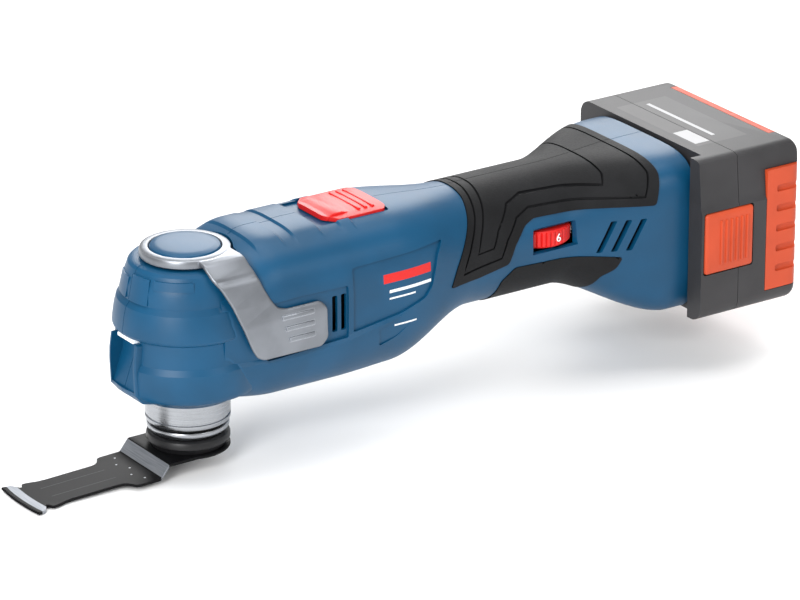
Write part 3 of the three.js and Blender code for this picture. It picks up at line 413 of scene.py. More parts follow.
def barrel(inset, start, end, pitch=3.0, detail=False):
    """Solid stretch of the barrel, with its surface moved in by inset."""
    spread = detailed_places if detail else even_places
    places = spread(start, end, pitch)
    bm = bmesh.new()
    bmesh.ops.create_circle(bm, cap_ends=False, segments=AROUND, radius=1.0)
    edges = bm.edges[:]
    for _ in places[1:]:
        made = bmesh.ops.extrude_edge_only(bm, edges=edges)["geom"]
        verts = [part for part in made if isinstance(part, bmesh.types.BMVert)]
        edges = [part for part in made if isinstance(part, bmesh.types.BMEdge)]
        bmesh.ops.translate(bm, verts=verts, vec=(0, 0, 1))
    bmesh.ops.holes_fill(bm, edges=bm.edges, sides=0)
    for vert in bm.verts:
        x = places[round(vert.co.z)]
        half, up, down, square = section_at(x)
        centre = (up - down) / 2
        angle = follow_belt(math.atan2(vert.co.y, vert.co.x), x, half, centre)
        across, above = math.cos(angle), math.sin(angle)
        wide, tall = half - inset, (up + down) / 2 - inset
        reach = (abs(across / wide) ** square + abs(above / tall) ** square) ** (-1 / square)
        if detail:
            z = centre + above * reach
            reach += belt_rise(x, z) + pad_rise(x, across * reach, z)
        vert.co = (x, across * reach, centre + above * reach)
    return outward(bm)


HEAD_PROFILE = [
    (0, HEAD_TOP), (22.6, HEAD_TOP), (23.8, HEAD_TOP - 0.4), (24.9, HEAD_TOP - 1.5),
    (27.7, 20.0), (28.2, 14.6), (30.2, 12.2), (31.2, 8.4),
    (32.0, 3.0), (32.2, 0.6), (31.9, -0.3), (30.7, -1.4), (31.0, -5.0), (31.6, -11.6),
    (33.2, -14.2), (33.4, -17.0), (33.2, -25.0), (32.7, -26.6), (31.8, -27.8), (26.4, -30.6),
    (23.0, -32.6), (22.0, HEAD_BOTTOM), (0, HEAD_BOTTOM)]


def inward(profile, inset):
    return [(max(0.0, radius - inset), height - math.copysign(inset * 0.4, height))
            for radius, height in profile]


def half_space(side, far=120):
    y = sorted((side * GAP / 2, side * far))
    return block((-120, y[0], -120), (REAR_X + 80, y[1], 120))


def pocket(outline, depth, side=-1, top=60):
    """Tool that sinks an outline into one side of the barrel by an even depth."""
    y = sorted((0, side * top))
    return cut(slab("Y", outline, y[0], y[1]), barrel(depth, 0, REAR_X, 2.6))


def through(outline):
    """Prism of a side outline, right across the tool."""
    return slab("Y", outline, -ACROSS, ACROSS)


def shell_piece(outline, low, high):
    """Layer that lies on the barrel between two insets, inside an outline."""
    layer = cut(barrel(high, FRONT_END, REAR_X - 4, 2.5), barrel(low, FRONT_END - 2, REAR_X, 2.5))
    return common(layer, through(outline))


# ------------------------------------------------------------------ shaders

BLUE = (0.0004, 0.058, 0.135)
RED = (0.62, 0.012, 0.010)
CHARCOAL = (0.0032, 0.0034, 0.0042)
PACK_GREY = (0.030, 0.029, 0.031)
ORANGE = (0.55, 0.065, 0.018)
SILVER = (0.24, 0.255, 0.28)

class Shade:
    """A value that varies over a surface. Arithmetic on it adds Math nodes."""

    def __init__(self, finish, socket):
        self.finish = finish
        self.socket = socket

    def math(self, operation, *values):
        inputs = dict(enumerate(values))
        node = self.finish.add("ShaderNodeMath", {"operation": operation}, inputs)
        return Shade(self.finish, node.outputs[0])

    def __add__(self, other):
        return self.math("ADD", self, other)

    __radd__ = __add__

    def __sub__(self, other):
        return self.math("SUBTRACT", self, other)

    def __rsub__(self, other):
        return self.math("SUBTRACT", other, self)

    def __mul__(self, other):
        return self.math("MULTIPLY", self, other)

    __rmul__ = __mul__

    def __gt__(self, other):
        return self.math("GREATER_THAN", self, other)

    def __lt__(self, other):
        return self.math("LESS_THAN", self, other)

    def absolute(self):
        return self.math("ABSOLUTE", self)

    def sine(self):
        return self.math("SINE", self)

    def step(self, start, end):
        """0 below start, 1 above end."""
        node = self.finish.add(
            "ShaderNodeMapRange", {"interpolation_type": "SMOOTHSTEP"},
            {"Value": self, "From Min": start, "From Max": end})
        return Shade(self.finish, node.outputs["Result"])


class Finish:
    """A material under construction."""

    def __init__(self, name, colour, roughness, metallic=0.0, coat=0.0, gloss=0.35):
        self.material = bpy.data.materials.new(name)
        self.material.use_nodes = True
        self.tree = self.material.node_tree
        self.tree.nodes.clear()
        self.shader = self.add("ShaderNodeBsdfPrincipled", {}, {
            "Base Color": (*colour, 1.0), "Roughness": roughness, "Metallic": metallic,
            "Coat Weight": coat, "Specular IOR Level": gloss})
        output = self.add("ShaderNodeOutputMaterial", {}, {})
        self.tree.links.new(self.shader.outputs[0], output.inputs["Surface"])
        self.colour = colour
        self.place = self.add("ShaderNodeTexCoord", {}, {}).outputs["Object"]
        self.parts = None

    def add(self, kind, settings, inputs):
        node = self.tree.nodes.new(kind)
        for name, value in settings.items():
            if name == "stops":
                ramp = node.color_ramp
                for number, (position, colour) in enumerate(value):
                    stop = ramp.elements[number] if number < 2 else ramp.elements.new(position)
                    stop.position = position
                    stop.color = (*colour, 1.0)
            else:
                setattr(node, name, value)
        for name, value in inputs.items():
            self.feed(node.inputs[name], value)
        return node

    def feed(self, socket, value):
        if isinstance(value, Shade):
            self.tree.links.new(value.socket, socket)
        elif isinstance(value, bpy.types.NodeSocket):
            self.tree.links.new(value, socket)
        else:
            socket.default_value = value

    def axes(self):
        """Position in millimetres from the centreline, as three values."""
        if self.parts is None:
            node = self.add("ShaderNodeSeparateXYZ", {}, {"Vector": self.place})
            self.parts = [
                (Shade(self, node.outputs[i]) - CENTRELINE[i]) * (1 / MM) for i in range(3)]
        return self.parts

    def noise(self, size, detail=2.0, stretch=(1, 1, 1), rough=0.5):
        """Cloudy value with features about size millimetres across."""
        scaled = self.add("ShaderNodeMapping", {}, {"Vector": self.place, "Scale": stretch})
        node = self.add("ShaderNodeTexNoise", {}, {
            "Vector": scaled.outputs[0], "Scale": 1 / (size * MM), "Detail": detail,
            "Roughness": rough})
        return Shade(self, node.outputs[0])

    def cells(self, size):
        node = self.add("ShaderNodeTexVoronoi", {"feature": "F1"}, {
            "Vector": self.place, "Scale": 1 / (size * MM)})
        return Shade(self, node.outputs["Distance"])

    def mix(self, share, first, second):
        """Colour that goes from the first to the second."""
        node = self.add("ShaderNodeMix", {"data_type": "RGBA"}, {0: share})
        for socket, value in ((node.inputs[6], first), (node.inputs[7], second)):
            self.feed(socket, (*value, 1.0) if isinstance(value, tuple) else value)
        return node.outputs[2]

    def paint(self, colour):
        self.feed(self.shader.inputs["Base Color"], colour)

    def painted(self):
        """Colour that the shader has so far."""
        return self.shader.inputs["Base Color"].links[0].from_socket

    def rough(self, value):
        self.feed(self.shader.inputs["Roughness"], value)

    def metal(self, value):
        self.feed(self.shader.inputs["Metallic"], value)

    def bump(self, height, depth, strength=1.0):
        """Relief of a value from 0 to 1 over a depth in millimetres."""
        node = self.add("ShaderNodeBump", {}, {
            "Height": height, "Distance": depth * MM, "Strength": strength})
        self.feed(self.shader.inputs["Normal"], node.outputs[0])

    def edges(self, radius):
        """Mask for painted edge highlights: 1 on edges sharper than the radius in millimetres, 0 on
        flat stretches.
        """
        highlight_bevel = self.add("ShaderNodeBevel", {"samples": 4}, {"Radius": radius * MM})
        flat = self.add("ShaderNodeNewGeometry", {}, {})
        dot = self.add("ShaderNodeVectorMath", {"operation": "DOT_PRODUCT"}, {
            0: highlight_bevel.outputs[0], 1: flat.outputs["Normal"]})
        return (1 - Shade(self, dot.outputs["Value"])).step(0.01, 0.2)


def moulded(name, colour, roughness=0.42, grain=0.35, depth=0.02, light=1.25, coat=0.0):
    """Injection moulded plastic with an eroded grain and a painted highlight along its edges."""
    finish = Finish(name, colour, roughness, coat=coat)
    cloud = finish.noise(28, 3)
    grit = finish.noise(grain, 1)
    pale = tuple(min(1.0, part * light + 0.004) for part in colour)
    dark = tuple(part * 0.86 for part in colour)
    lit = tuple(part * (1 + (light - 1) * 0.3) for part in colour)
    clouded = finish.mix(cloud.step(0.3, 0.7), dark, lit)
    # Painted highlight: the colour turns paler along rounded edges.
    finish.paint(finish.mix(finish.edges(0.5) * 0.55, clouded, pale))
    finish.rough(roughness - 0.05 + cloud * 0.06 + grit * 0.06)
    finish.bump(grit, depth)
    return finish


def rubbery(name, colour):
    """Soft overmould with a fine leathery grain."""
    finish = Finish(name, colour, 0.6, gloss=0.22)
    grain = finish.cells(0.9)
    cloud = finish.noise(20, 3)
    pale = tuple(part * 1.5 + 0.003 for part in colour)
    finish.paint(finish.mix(cloud.step(0.35, 0.75), colour, pale))
    finish.rough(0.5 + cloud * 0.14 + grain * 0.08)
    finish.bump(grain, 0.035)
    return finish


def blasted(name, colour, roughness=0.4, metallic=0.85, highlight_bevel=0.9):
    """Die-cast metal with a fine blasted grain and a painted highlight along its edges."""
    finish = Finish(name, colour, roughness, metallic)
    grit = finish.noise(0.3, 2)
    cloud = finish.noise(14, 3)
    pale = tuple(min(1.0, part * 2.2) for part in colour)
    dark = tuple(part * 0.85 for part in colour)
    clouded = finish.mix(cloud.step(0.3, 0.7), dark, colour)
    # Painted highlight: the colour turns much paler along rounded edges.
    finish.paint(finish.mix(finish.edges(highlight_bevel) * 0.9, clouded, pale))
    finish.rough(roughness - 0.06 + cloud * 0.08 + grit * 0.06)
    finish.bump(grit, 0.015)
    return finish


def machined(name, colour, roughness=0.26, stretch=(0.02, 0.02, 1), metallic=1.0):
    """Turned or ground metal with fine tool marks."""
    finish = Finish(name, colour, roughness, metallic)
    marks = finish.noise(0.35, 3, stretch)
    cloud = finish.noise(10, 2)
    dark = tuple(part * 0.78 for part in colour)
    finish.paint(finish.mix(marks.step(0.25, 0.8), dark, colour))
    finish.rough(roughness - 0.04 + marks * 0.1 + cloud * 0.05)
    finish.bump(marks, 0.008)
    return finish


def shell_finish():
    """Blue moulded plastic with a plain printed panel on the lever's side."""
    finish = moulded("blue_shell", BLUE, 0.4)
    x, y, z = finish.axes()
    near = y < -20

    def bar(x0, x1, z0, z1):
        return (x > x0) * (x < x1) * (z > z0) * (z < z1) * near

    base = finish.painted()
    base = finish.mix(bar(81, 107, 8.4, 12.6), base, RED)
    pale = bar(84, 107, 3.6, 5.0) + bar(84, 98, 0.6, 1.4) + bar(86, 98, -12.0, -11.2)
    finish.paint(finish.mix(pale, base, (0.78, 0.80, 0.82)))
    return finish.material


def pack_finish():
    """Charcoal moulded plastic with a plain label on the pack's top."""
    finish = moulded("pack_grey", PACK_GREY, 0.48, light=1.5)
    x, y, z = finish.axes()
    top = z > BASE_HIGH.z - 0.6

    def patch(x0, x1, y0, y1):
        return (x > x0) * (x < x1) * (y > y0) * (y < y1) * top

    base = finish.painted()
    base = finish.mix(patch(252, 280, -32, 30), base, (0.055, 0.054, 0.056))
    base = finish.mix(patch(253, 261, -29, -12), base, (0.42, 0.42, 0.43))
    base = finish.mix(patch(266, 268, -24, 26), base, (0.42, 0.42, 0.43))
    finish.paint(base)
    return finish.material


def blade_finish():
    """Black coating, with the bend and the welded toothed strip left bright."""
    finish = Finish("blade_coating", (0.006, 0.006, 0.007), 0.5, 0.0, gloss=0.08)
    x, y, z = finish.axes()
    marks = finish.noise(0.5, 3, (1, 0.05, 1))
    web = (x < -BEND_START - 0.2) * (x > -BEND_END + 0.2)
    bow = CUT_BOW - y * y * (CUT_BOW / CUT_HALF ** 2)
    back = x + bow
    band = (back < -CUT_START - 0.3) * (back > -CUT_START - 4.3)
    bright = web + band
    dots = None
    for number in range(5):
        place = (-30.0 - 3.0 * (number % 2), (number - 2) * 6.3)
        near = (x - place[0]) * (x - place[0]) + (y - place[1]) * (y - place[1]) < 0.2
        dots = near if dots is None else dots + near
    scale = (y.absolute() > 4.6) * (y.absolute() < 4.9) * (x < -40) * (x > -72)
    black = finish.mix(marks.step(0.3, 0.8), (0.004, 0.004, 0.0045), (0.009, 0.009, 0.010))
    steel = finish.mix(marks.step(0.2, 0.8), (0.20, 0.215, 0.24), (0.30, 0.315, 0.34))
    base = finish.mix(bright, black, steel)
    base = finish.mix(dots, base, (0.55, 0.57, 0.6))
    finish.paint(finish.mix(scale * 0.5, base, (0.10, 0.10, 0.11)))
    finish.metal(bright * 0.7)
    finish.rough(0.38 + marks * 0.12)
    finish.bump(marks, 0.006)
    return finish.material


def board_finish():
    """Green solder mask with fine copper tracks under it."""
    finish = Finish("solder_mask", (0.01, 0.10, 0.035), 0.35)
    tracks = finish.noise(1.6, 0, (1, 0.15, 1))
    finish.paint(finish.mix(tracks.step(0.48, 0.52), (0.008, 0.085, 0.03), (0.02, 0.16, 0.06)))
    finish.bump(tracks.step(0.48, 0.52), 0.02)
    return finish.material


def winding_finish():
    """Enamelled copper wire laid in close turns."""
    finish = Finish("copper_winding", (0.50, 0.20, 0.08), 0.3, 0.9)
    x, y, z = finish.axes()
    turns = (x * 9.0).sine()
    finish.paint(finish.mix(turns.step(-1, 1), (0.30, 0.10, 0.035), (0.60, 0.27, 0.11)))
    finish.bump(turns, 0.05)
    return finish.material


def cell_finish():
    """Shrink wrapped battery cell with a pale band at each end."""
    finish = Finish("cell_wrap", (0.03, 0.16, 0.12), 0.3, coat=0.3)
    x, y, z = finish.axes()
    cloud = finish.noise(6, 3)
    ends = (z > 28) + (z < -32)
    wrap = finish.mix(cloud, (0.02, 0.13, 0.10), (0.04, 0.19, 0.14))
    finish.paint(finish.mix(ends, wrap, (0.6, 0.61, 0.62)))
    finish.bump(cloud, 0.02)
    return finish.material


def lens_finish():
    """Frosted lamp lens."""
    finish = Finish("frosted_lens", (0.86, 0.9, 0.93), 0.25)
    frost = finish.noise(0.6, 2)
    finish.paint(finish.mix(frost, (0.80, 0.85, 0.9), (0.95, 0.97, 1.0)))
    finish.bump(frost, 0.02)
    finish.feed(finish.shader.inputs["Emission Color"], (0.8, 0.9, 1.0, 1.0))
    finish.shader.inputs["Emission Strength"].default_value = 0.25
    return finish.material


# ------------------------------------------------------------------ pieces


def added(name, bm, body, material):
    """Puts a mesh in millimetres into the scene as a piece that rides a body."""
    mesh = bpy.data.meshes.new(name)
    bm.to_mesh(mesh)
    bm.free()
    mesh.transform(Matrix.Translation(CENTRELINE) @ Matrix.Scale(MM, 4))
    mesh.materials.append(material)
    thing = bpy.data.objects.new(name, mesh)
    bpy.context.scene.collection.objects.link(thing)
    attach(thing, body)
    return thing


def piece(name, bm, body, node, material, angle=32):
    """Adds a smooth shaded piece that stands for a CAD node."""
    bmesh.ops.remove_doubles(bm, verts=bm.verts, dist=1e-3)
    bmesh.ops.dissolve_degenerate(bm, edges=bm.edges, dist=1e-3)
    thing = added(name, bm, body, material)
    thing.data.shade_smooth()
    thing.data.set_sharp_from_angle(angle=math.radians(angle))
    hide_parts(node)


# ---- housing

LEVER_RECESS = soft([(20, 12.4), (38, 12.9), (62, 12.4), (62, -11.6), (20, -13.6)], 1.2)
LABEL = soft([
    (64.5, -10.2), (89.6, -6.6), (103.3, -2.8), (107.3, 1.8), (110.9, 14.7), (115.0, 20.8),
    (64.5, 19.4)], 1.6)
SMALL_PANEL = soft([(78.3, -20), (87.4, -17.2), (99.5, -9), (99.3, -4.9), (77.4, -11.6)], 1.2)
GRIP_OUTLINE = [
    (119, -3), (135, -2.4), (151, 0.8), (154.5, 9), (160.5, 16.5), (166, 18.8), (200, 17.6),
    (223.5, 17), (227, 31), (222, 60), (139, 60), (136.5, 31), (132.5, 23), (127, 14), (122.6, 6)]
BELLY_OUTLINE = [
    (146, -60), (190, -60), (201, -16), (206.5, -11.9), (209, -6.8), (200, -5.7), (180, -3.3),
    (155, -2.2), (149, -8)]
SEAT = 1.2
SLIDER_ROOM = 6.4
REAR_MOUTH = soft(rectangle(-36, 36, -35, 30), 12, 6)
DIAL_MOUTH = [(163.5, 17.6), (190.0, 14.6), (193.5, 1.2), (160.5, 0.2)]
DIAL_FLOOR = [(165.4, 13.2), (187.4, 13.2), (187.4, 2.4), (165.4, 2.4)]


def side_vents():
    slots = []
    for side in (-1, 1):
        y = sorted((side * 24, side * 60))
        for x in (54.0, 58.6):
            slots.append(slab("Y", soft(rectangle(x, x + 2.7, -8, 8.8), 0.7, 3), *y))
        for number in range(3):
            x = 199 + number * 6.5
            slant = [(x - 1.6, -3.6), (x + 1.2, -3.6), (x + 7.8, 11), (x + 5.0, 11)]
            slots.append(slab("Y", soft(slant, 0.6, 3), *y))
    return slots


def lamp_recess(extra=0.0):
    front = -40
    outline = [
        (front, -1.0 + extra), (front, -24.6 - extra), (-31.6 + extra, -24.6 - extra),
        (-26.6 + extra, -11.0), (-25.4 + extra, -1.0 + extra)]
    return slab("Y", outline, -9.4 - extra, 9.4 + extra)


def lamp_surround():
    """Raised block round the lamp, with a chamfered foot."""
    outline = [
        (-20, -2.2), (-31.8, -2.2), (-32.8, -9), (-33.0, -14), (-32.5, -25.8), (-28.8, -30.2),
        (-20, -32.4)]
    bm = slab("Y", outline, -11.0, 11.0)
    long_edges = [edge for edge in bm.edges if abs(edge.verts[0].co.y - edge.verts[1].co.y) < 1]
    return round_edges(bm, [e for e in long_edges if min(v.co.x for v in e.verts) < -25], 1.0, 3)


# Facets on the head's shoulder: start and end angle, lower and upper height.
HEAD_PADS = [(146, 174, 15.2, 24.0), (179, 203, 15.2, 26.4), (208, 246, 22.6, 26.4)]


def head_pads():
    """Facets that stand proud on the head's shoulder."""
    pads = []
    for start, end, low, high in HEAD_PADS:
        bm = bmesh.new()
        wide = 28.9 - (low - 15) * 0.22
        narrow = 28.9 - (high - 15) * 0.22
        corners = [(20, low), (wide, low), (narrow, high), (20, high)]
        bm.faces.new([bm.verts.new((r, 0, z)) for r, z in corners])
        spun(bm, end - start, 10, False)
        outward(bm)
        bmesh.ops.remove_doubles(bm, verts=bm.verts, dist=1e-4)
        pads.append(turned(bm, start, "Z"))
    return pads


def grip_seat(outline):
    """Tool that sinks a soft grip's seat into the barrel."""
    return cut(
        through(soft(grown(outline, 0.25), 1.6)), barrel(SEAT, FRONT_END, REAR_X + 2, 4.0))


def housing():
    body = union(
        barrel(0, 0, REAR_X, 2.6, detail=True), lathe(HEAD_PROFILE, 128), lamp_surround(),
        *head_pads())
    inner = union(barrel(WALL, 0.5, REAR_X - 6, 5), lathe(inward(HEAD_PROFILE, WALL), 64))
    inner = cut(inner, lamp_recess(1.6), lever_path(0.6 + WALL))
    body = cut(body, inner)
    slot = rectangle(
        SLIDER_LOW.x - SLIDER_ROOM, SLIDER_HIGH.x + 0.5, SLIDER_LOW.y - 0.5, SLIDER_HIGH.y + 0.5)
    tools = [
        lamp_recess(),
        moved(rod(NECK_RADIUS + GAP, -12, 12, 96), z=HEAD_BOTTOM),
        moved(rod(12.4, -9, 9, 48), z=HEAD_TOP),
        moved(rod(RING_RADIUS + 0.8, 0, 20, 96), z=HEAD_TOP - 0.1),
        slab("Z", soft(slot, 2.4), 34.0, 60),
        slab("X", REAR_MOUTH, REAR_X - 8, REAR_X + 4),
        lever_path(0.6),
        pocket(LEVER_RECESS, 1.0),
        pocket(LABEL, 1.0),
        pocket(SMALL_PANEL, -0.1),
        grip_seat(GRIP_OUTLINE),
        grip_seat(BELLY_OUTLINE),
        funnel("Y", DIAL_MOUTH, DIAL_FLOOR, -40, -24.6),
        slab("Y", rectangle(DIAL_LOW.x + 5, DIAL_HIGH.x - 5, DIAL_LOW.z - 0.6, DIAL_HIGH.z + 0.6),
             -60, DIAL_LOW.y + DIAL_RADIUS),
        *side_vents(),
    ]
    body = cut(body, *tools)
    for place in SCREW_PLACES:
        body = cut(body, moved(rod(3.4, 9, 60, 32, "Y"), x=place.x, z=place.z))
    return body


def housing_halves(material):
    whole = housing()
    for side, name in ((-1, "left"), (1, "right")):
        half = common(whole.copy(), half_space(side))
        piece(f"{name}_shell", half, "tool_body", f"{name}_housing", material, 20)


# ---- soft overmoulds


# Lines pressed into the grip, as (x, z) from the top round to the top again.
GRIP_LINES = [
    [(140.5, 60), (140.5, 33), (136.8, 24), (131.5, 14.5), (127.5, 6), (126, 1.6), (147, 4.6),
     (150.5, 12), (157.5, 20.4), (165, 23.2), (200, 21.8), (219, 21.2), (222.5, 31), (219, 60)],
    [(146, 60), (146, 34), (142, 25.5), (137, 16), (134.5, 9), (143, 10), (146.5, 17),
     (155, 26), (164, 28.4), (203, 27), (205, 31), (203, 60)]]


def strip(points, width):
    """Outline of an even strip along an open line."""
    near, far = [], []
    for number, (x, y) in enumerate(points):
        before = Vector(points[max(0, number - 1)])
        after = Vector(points[min(len(points) - 1, number + 1)])
        way = (after - before).normalized() * (width / 2)
        near.append((x - way.y, y + way.x))
        far.append((x + way.y, y - way.x))
    return near + far[::-1]


def overmoulds(material):
    skin = shell_piece(soft(grown(GRIP_OUTLINE, -0.1), 1.6), SEAT - GAP / 2, -0.5)
    for line in GRIP_LINES:
        band = through(strip(line, 1.0))
        skin = cut(skin, cut(band, barrel(0.4, FRONT_END - 2, REAR_X, 2.5)))
    belly = shell_piece(soft(grown(BELLY_OUTLINE, -0.1), 1.6), SEAT - GAP / 2, -0.4)
    for side, name in ((-1, "left"), (1, "right")):
        for kind, source in (("grip", skin), ("belly_grip", belly)):
            half = common(source.copy(), half_space(side))
            piece(f"{name}_{kind}_skin", half, "tool_body", f"{name}_{kind}",
                  material, 30)


# ---- clamping lever

# Outer face of the lever across the tool: (y, z) from the ring down to the tab's lower edge.
LEVER_PATH = [
    (-9.0, 33.9), (-20.0, 33.7), (-23.5, 32.9), (-30.0, 27.4), (-31.8, 24.4), (-34.2, 14.0),
    (-35.9, 5.0), (-36.8, LEVER_LOW.z)]
LEVER_THICKNESS = 2.1
LEVER_ROOM = (-8, 17.6)
# Plan of the unrolled lever: (x, distance along the path).
LEVER_PLAN = [
    (-6.0, 0.0), (-5.4, 9.0), (-5.0, 16.0), (-4.0, 22.5), (-1.4, 27.5), (3.0, 36.0),
    (6.9, 46.0), (11.2, 57.0), (13.6, 61.2), (17.0, 62.9), (46.5, 62.9), (50.0, 59.5),
    (50.0, 45.4), (46.8, 42.0), (30.0, 42.0), (25.2, 40.6), (22.4, 36.6), (19.6, 31.0),
    (17.2, 24.5), (16.0, 18.0), (15.4, 9.0), (15.2, 0.0)]


def along(path, distance):
    """Point and outward normal at a distance along a path."""
    for (y0, z0), (y1, z1) in zip(path, path[1:]):
        length = math.hypot(y1 - y0, z1 - z0)
        if distance <= length or (y1, z1) == path[-1]:
            t = distance / length
            direction = Vector((y1 - y0, z1 - z0)) / length
            point = Vector((y0 + (y1 - y0) * t, z0 + (z1 - z0) * t))
            return point, Vector((direction.y, -direction.x))
        distance -= length


def path_stops(path):
    stops, total = [], 0.0
    for a, b in zip(path, path[1:]):
        total += math.dist(a, b)
        stops.append(total)
    return stops[:-1]


def bend_over(bm, path):
    """Wraps a flat plate, drawn as (x, distance, height), over a path."""
    cuts = []
    for stop in path_stops(path):
        cuts += [stop - 1.0, stop - 0.4, stop + 0.4, stop + 1.0]
    for place in cuts:
        bmesh.ops.bisect_plane(
            bm, geom=bm.verts[:] + bm.edges[:] + bm.faces[:], plane_co=(0, place, 0),
            plane_no=(0, 1, 0))
    for vert in bm.verts:
        x, distance, height = vert.co
        point, normal = smooth_along(path, distance)
        vert.co = (x, point.x + normal.x * height, point.y + normal.y * height)
    return outward(bm)


def smooth_along(path, distance):
    """Point and normal on a path whose corners are eased over two millimetres."""
    spread = 1.0
    before, first = along(path, max(0.0, distance - spread))
    after, second = along(path, distance + spread)
    middle, _ = along(path, max(0.0, distance))
    return middle * 0.5 + (before + after) * 0.25, (first + second).normalized()


def lever_plate():
    bm = slab("Z", soft(LEVER_PLAN, 1.6, 4), -LEVER_THICKNESS, 0)
    round_edges(bm, sharp_edges(bm, 60), 0.9, 3)
    ribs = []
    for number in range(3):
        x, distance = 26.5 + number * 1.6, 44.6 + number * 5.2
        ribs.append(block((x, distance, -0.8), (43, distance + 2.1, 0.75), 0.55, 2))
    return union(bm, *ribs)


def lever_path(clearance):
    """Room that the lever lies in on the housing's shoulder."""
    band = [along(LEVER_PATH, stop) for stop in (0.01, *path_stops(LEVER_PATH))]
    inner = [point - normal * (LEVER_THICKNESS + clearance) for point, normal in band]
    outline = [(p.x, p.y) for p in inner] + [(-60, inner[-1].y), (-60, 60), (inner[0].x, 60)]
    return slab("X", outline, *LEVER_ROOM)


def lever(material):
    ring_low, ring_high = RING_BOTTOM, CAP_HIGH.z - 1.6
    radius = RING_RADIUS
    bore = (CAP_HIGH.x - CAP_LOW.x) / 2 + GAP
    hoop = ring([
        (bore, ring_low), (radius - 0.6, ring_low), (radius, ring_low + 0.6),
        (radius, ring_high - 1.4), (radius - 0.4, ring_high - 0.5), (radius - 1.4, ring_high),
        (bore + 0.4, ring_high), (bore, ring_high - 0.4)], 128)
    plate = bend_over(lever_plate(), LEVER_PATH)
    clear = moved(rod(radius - 1.2, 0, 20, 96), z=20)
    bm = union(cut(plate, clear), hoop)
    piece("clamping_lever", bm, "lever", "clamp_lever", material, 35)


def cap(material):
    r, low, high = (CAP_HIGH.x - CAP_LOW.x) / 2, CAP_LOW.z, CAP_HIGH.z
    dome = [(r * math.sin(math.radians(a)), high - 1.3 * (1 - math.cos(math.radians(a))))
            for a in range(0, 70, 10)]
    profile = [*dome, (r - 0.5, high - 1.3), (r, high - 2.0), (r, low), (0, low)]
    piece("lever_top_cap", lathe(profile, 96), "lever", "lever_cap", material, 30)


# ---- neck, holder, hub and blade

NECK_RADIUS = HOLDER_HIGH.x + 0.6
HUB_BORE = 9.3


def neck(material):
    low = NECK_LOW.z
    r = NECK_RADIUS
    bm = lathe([
        (0, low), (16.6, low), (r - 0.9, low), (r - 0.3, low + 0.3), (r, low + 0.9),
        (r, low + 2.2), (r - 0.5, low + 2.5), (r - 0.5, low + 3.0), (r, low + 3.3),
        (r, HEAD_BOTTOM + 5), (20.5, HEAD_BOTTOM + 5.5), (22, HEAD_BOTTOM + 8), (22, 15),
        (20, 17), (0, 17)], 128)
    tube = moved(rod(21, 0, 34, axis="X"), x=8)
    chamber = rod(19, -30, 8)
    lower = rod(14.3, -60, -20)
    upper = rod(13.3, 0, 30)
    shaft = moved(rod(8.3, 0, 40, 48, "X"), x=15)
    bm = cut(union(bm, tube), chamber, lower, upper, shaft)
    piece("gearbox_neck", bm, "tool_body", "gearbox_housing", material, 30)


def holder(material):
    r, low, high = HOLDER_HIGH.x, HOLDER_LOW.z, HOLDER_HIGH.z
    bore = 8.3
    bm = ring([
        (bore, high), (r - 0.9, high), (r - 0.25, high - 0.25), (r, high - 0.8),
        (r, low + 2.4), (r - 0.3, low + 1.7), (r - 1.4, low + 0.5), (r - 2.2, low), (bore, low)], 128)
    piece("accessory_holder", bm, "spindle", "tool_holder", material, 30)


def hub(material):
    r, low, high = HUB_HIGH.x, HUB_LOW.z, HUB_HIGH.z
    bore = HUB_BORE
    bm = ring([
        (bore, high), (r - 1.6, high), (r - 0.5, high - 0.6), (r, high - 1.8), (r, high - 3.4),
        (r - 1.2, high - 4.2), (r - 1.8, low + 0.6), (r - 2.0, low), (bore, low)], 128)
    piece("blade_hub_ring", bm, "blade", "blade_hub", material, 30)


BEND_START = 20.3
BEND_END = 24.7
BEND_DROP = 5.5
DROOP = 0.028
BLADE_THICKNESS = 1.3
BLADE_HALF = 17.4
CUT_BOW = 1.2
CUT_START = 78.5
CUT_END = 85.0
CUT_HALF = 16.0
TEETH = 22


def blade_height(x):
    """Height of the blade's plane below its flange."""
    bend = (min(max(-x, BEND_START), BEND_END) - BEND_START) / (BEND_END - BEND_START)
    return -BEND_DROP * bend - DROOP * max(0.0, -x - BEND_END)


def blade_plan():
    edge = [
        (-BEND_START + 3, BLADE_HALF), (-35.0, BLADE_HALF), (-36.6, 16.8), (-37.6, 15.2), (-38.8, 13.4),
        (-40.4, 12.2), (-42.5, 11.8), (-66.0, 11.8), (-69.5, 12.2), (-73.6, 13.4), (-75.6, 13.7),
        (-76.6, 13.2), (-77.2, 11.6), (-77.9, 10.9), (-78.7, 11.2), (-79.3, 12.6), (-81.0, 15.2)]
    teeth = []
    for number in range(2 * TEETH + 1):
        y = CUT_HALF * (1 - number / TEETH)
        bow = CUT_BOW * (1 - (y / CUT_HALF) ** 2)
        teeth.append((-CUT_END - bow + 1.1 * (number % 2), y))
    lower = [(x, -y) for x, y in reversed(edge)]
    return [(0, BLADE_HALF), *edge, *teeth, *lower, (0, -BLADE_HALF)]


def blade(material):
    top = HUB_LOW.z - GAP
    plan = slab("Z", blade_plan(), top - BLADE_THICKNESS, top)
    flange = lathe([
        (0, top), (18.2, top), (18.5, top - 0.3), (18.5, top - BLADE_THICKNESS + 0.3),
        (18.2, top - BLADE_THICKNESS), (0, top - BLADE_THICKNESS)], 128)
    bm = cut(union(plan, flange), rod(HUB_BORE, top - 9, top + 9))
    for place in (
            BEND_START - 0.5, BEND_START, BEND_START + 0.5, BEND_END - 0.5, BEND_END, BEND_END + 0.5,
            30, 36, 42, 50, 60, 70, 78.5):
        bmesh.ops.bisect_plane(
            bm, geom=bm.verts[:] + bm.edges[:] + bm.faces[:], plane_co=(-place, 0, 0),
            plane_no=(1, 0, 0))
    for vert in bm.verts:
        x = vert.co.x
        vert.co.z += (blade_height(x - 0.5) + 2 * blade_height(x) + blade_height(x + 0.5)) / 4
    piece("plunge_blade", bm, "blade", "blade", material, 25)


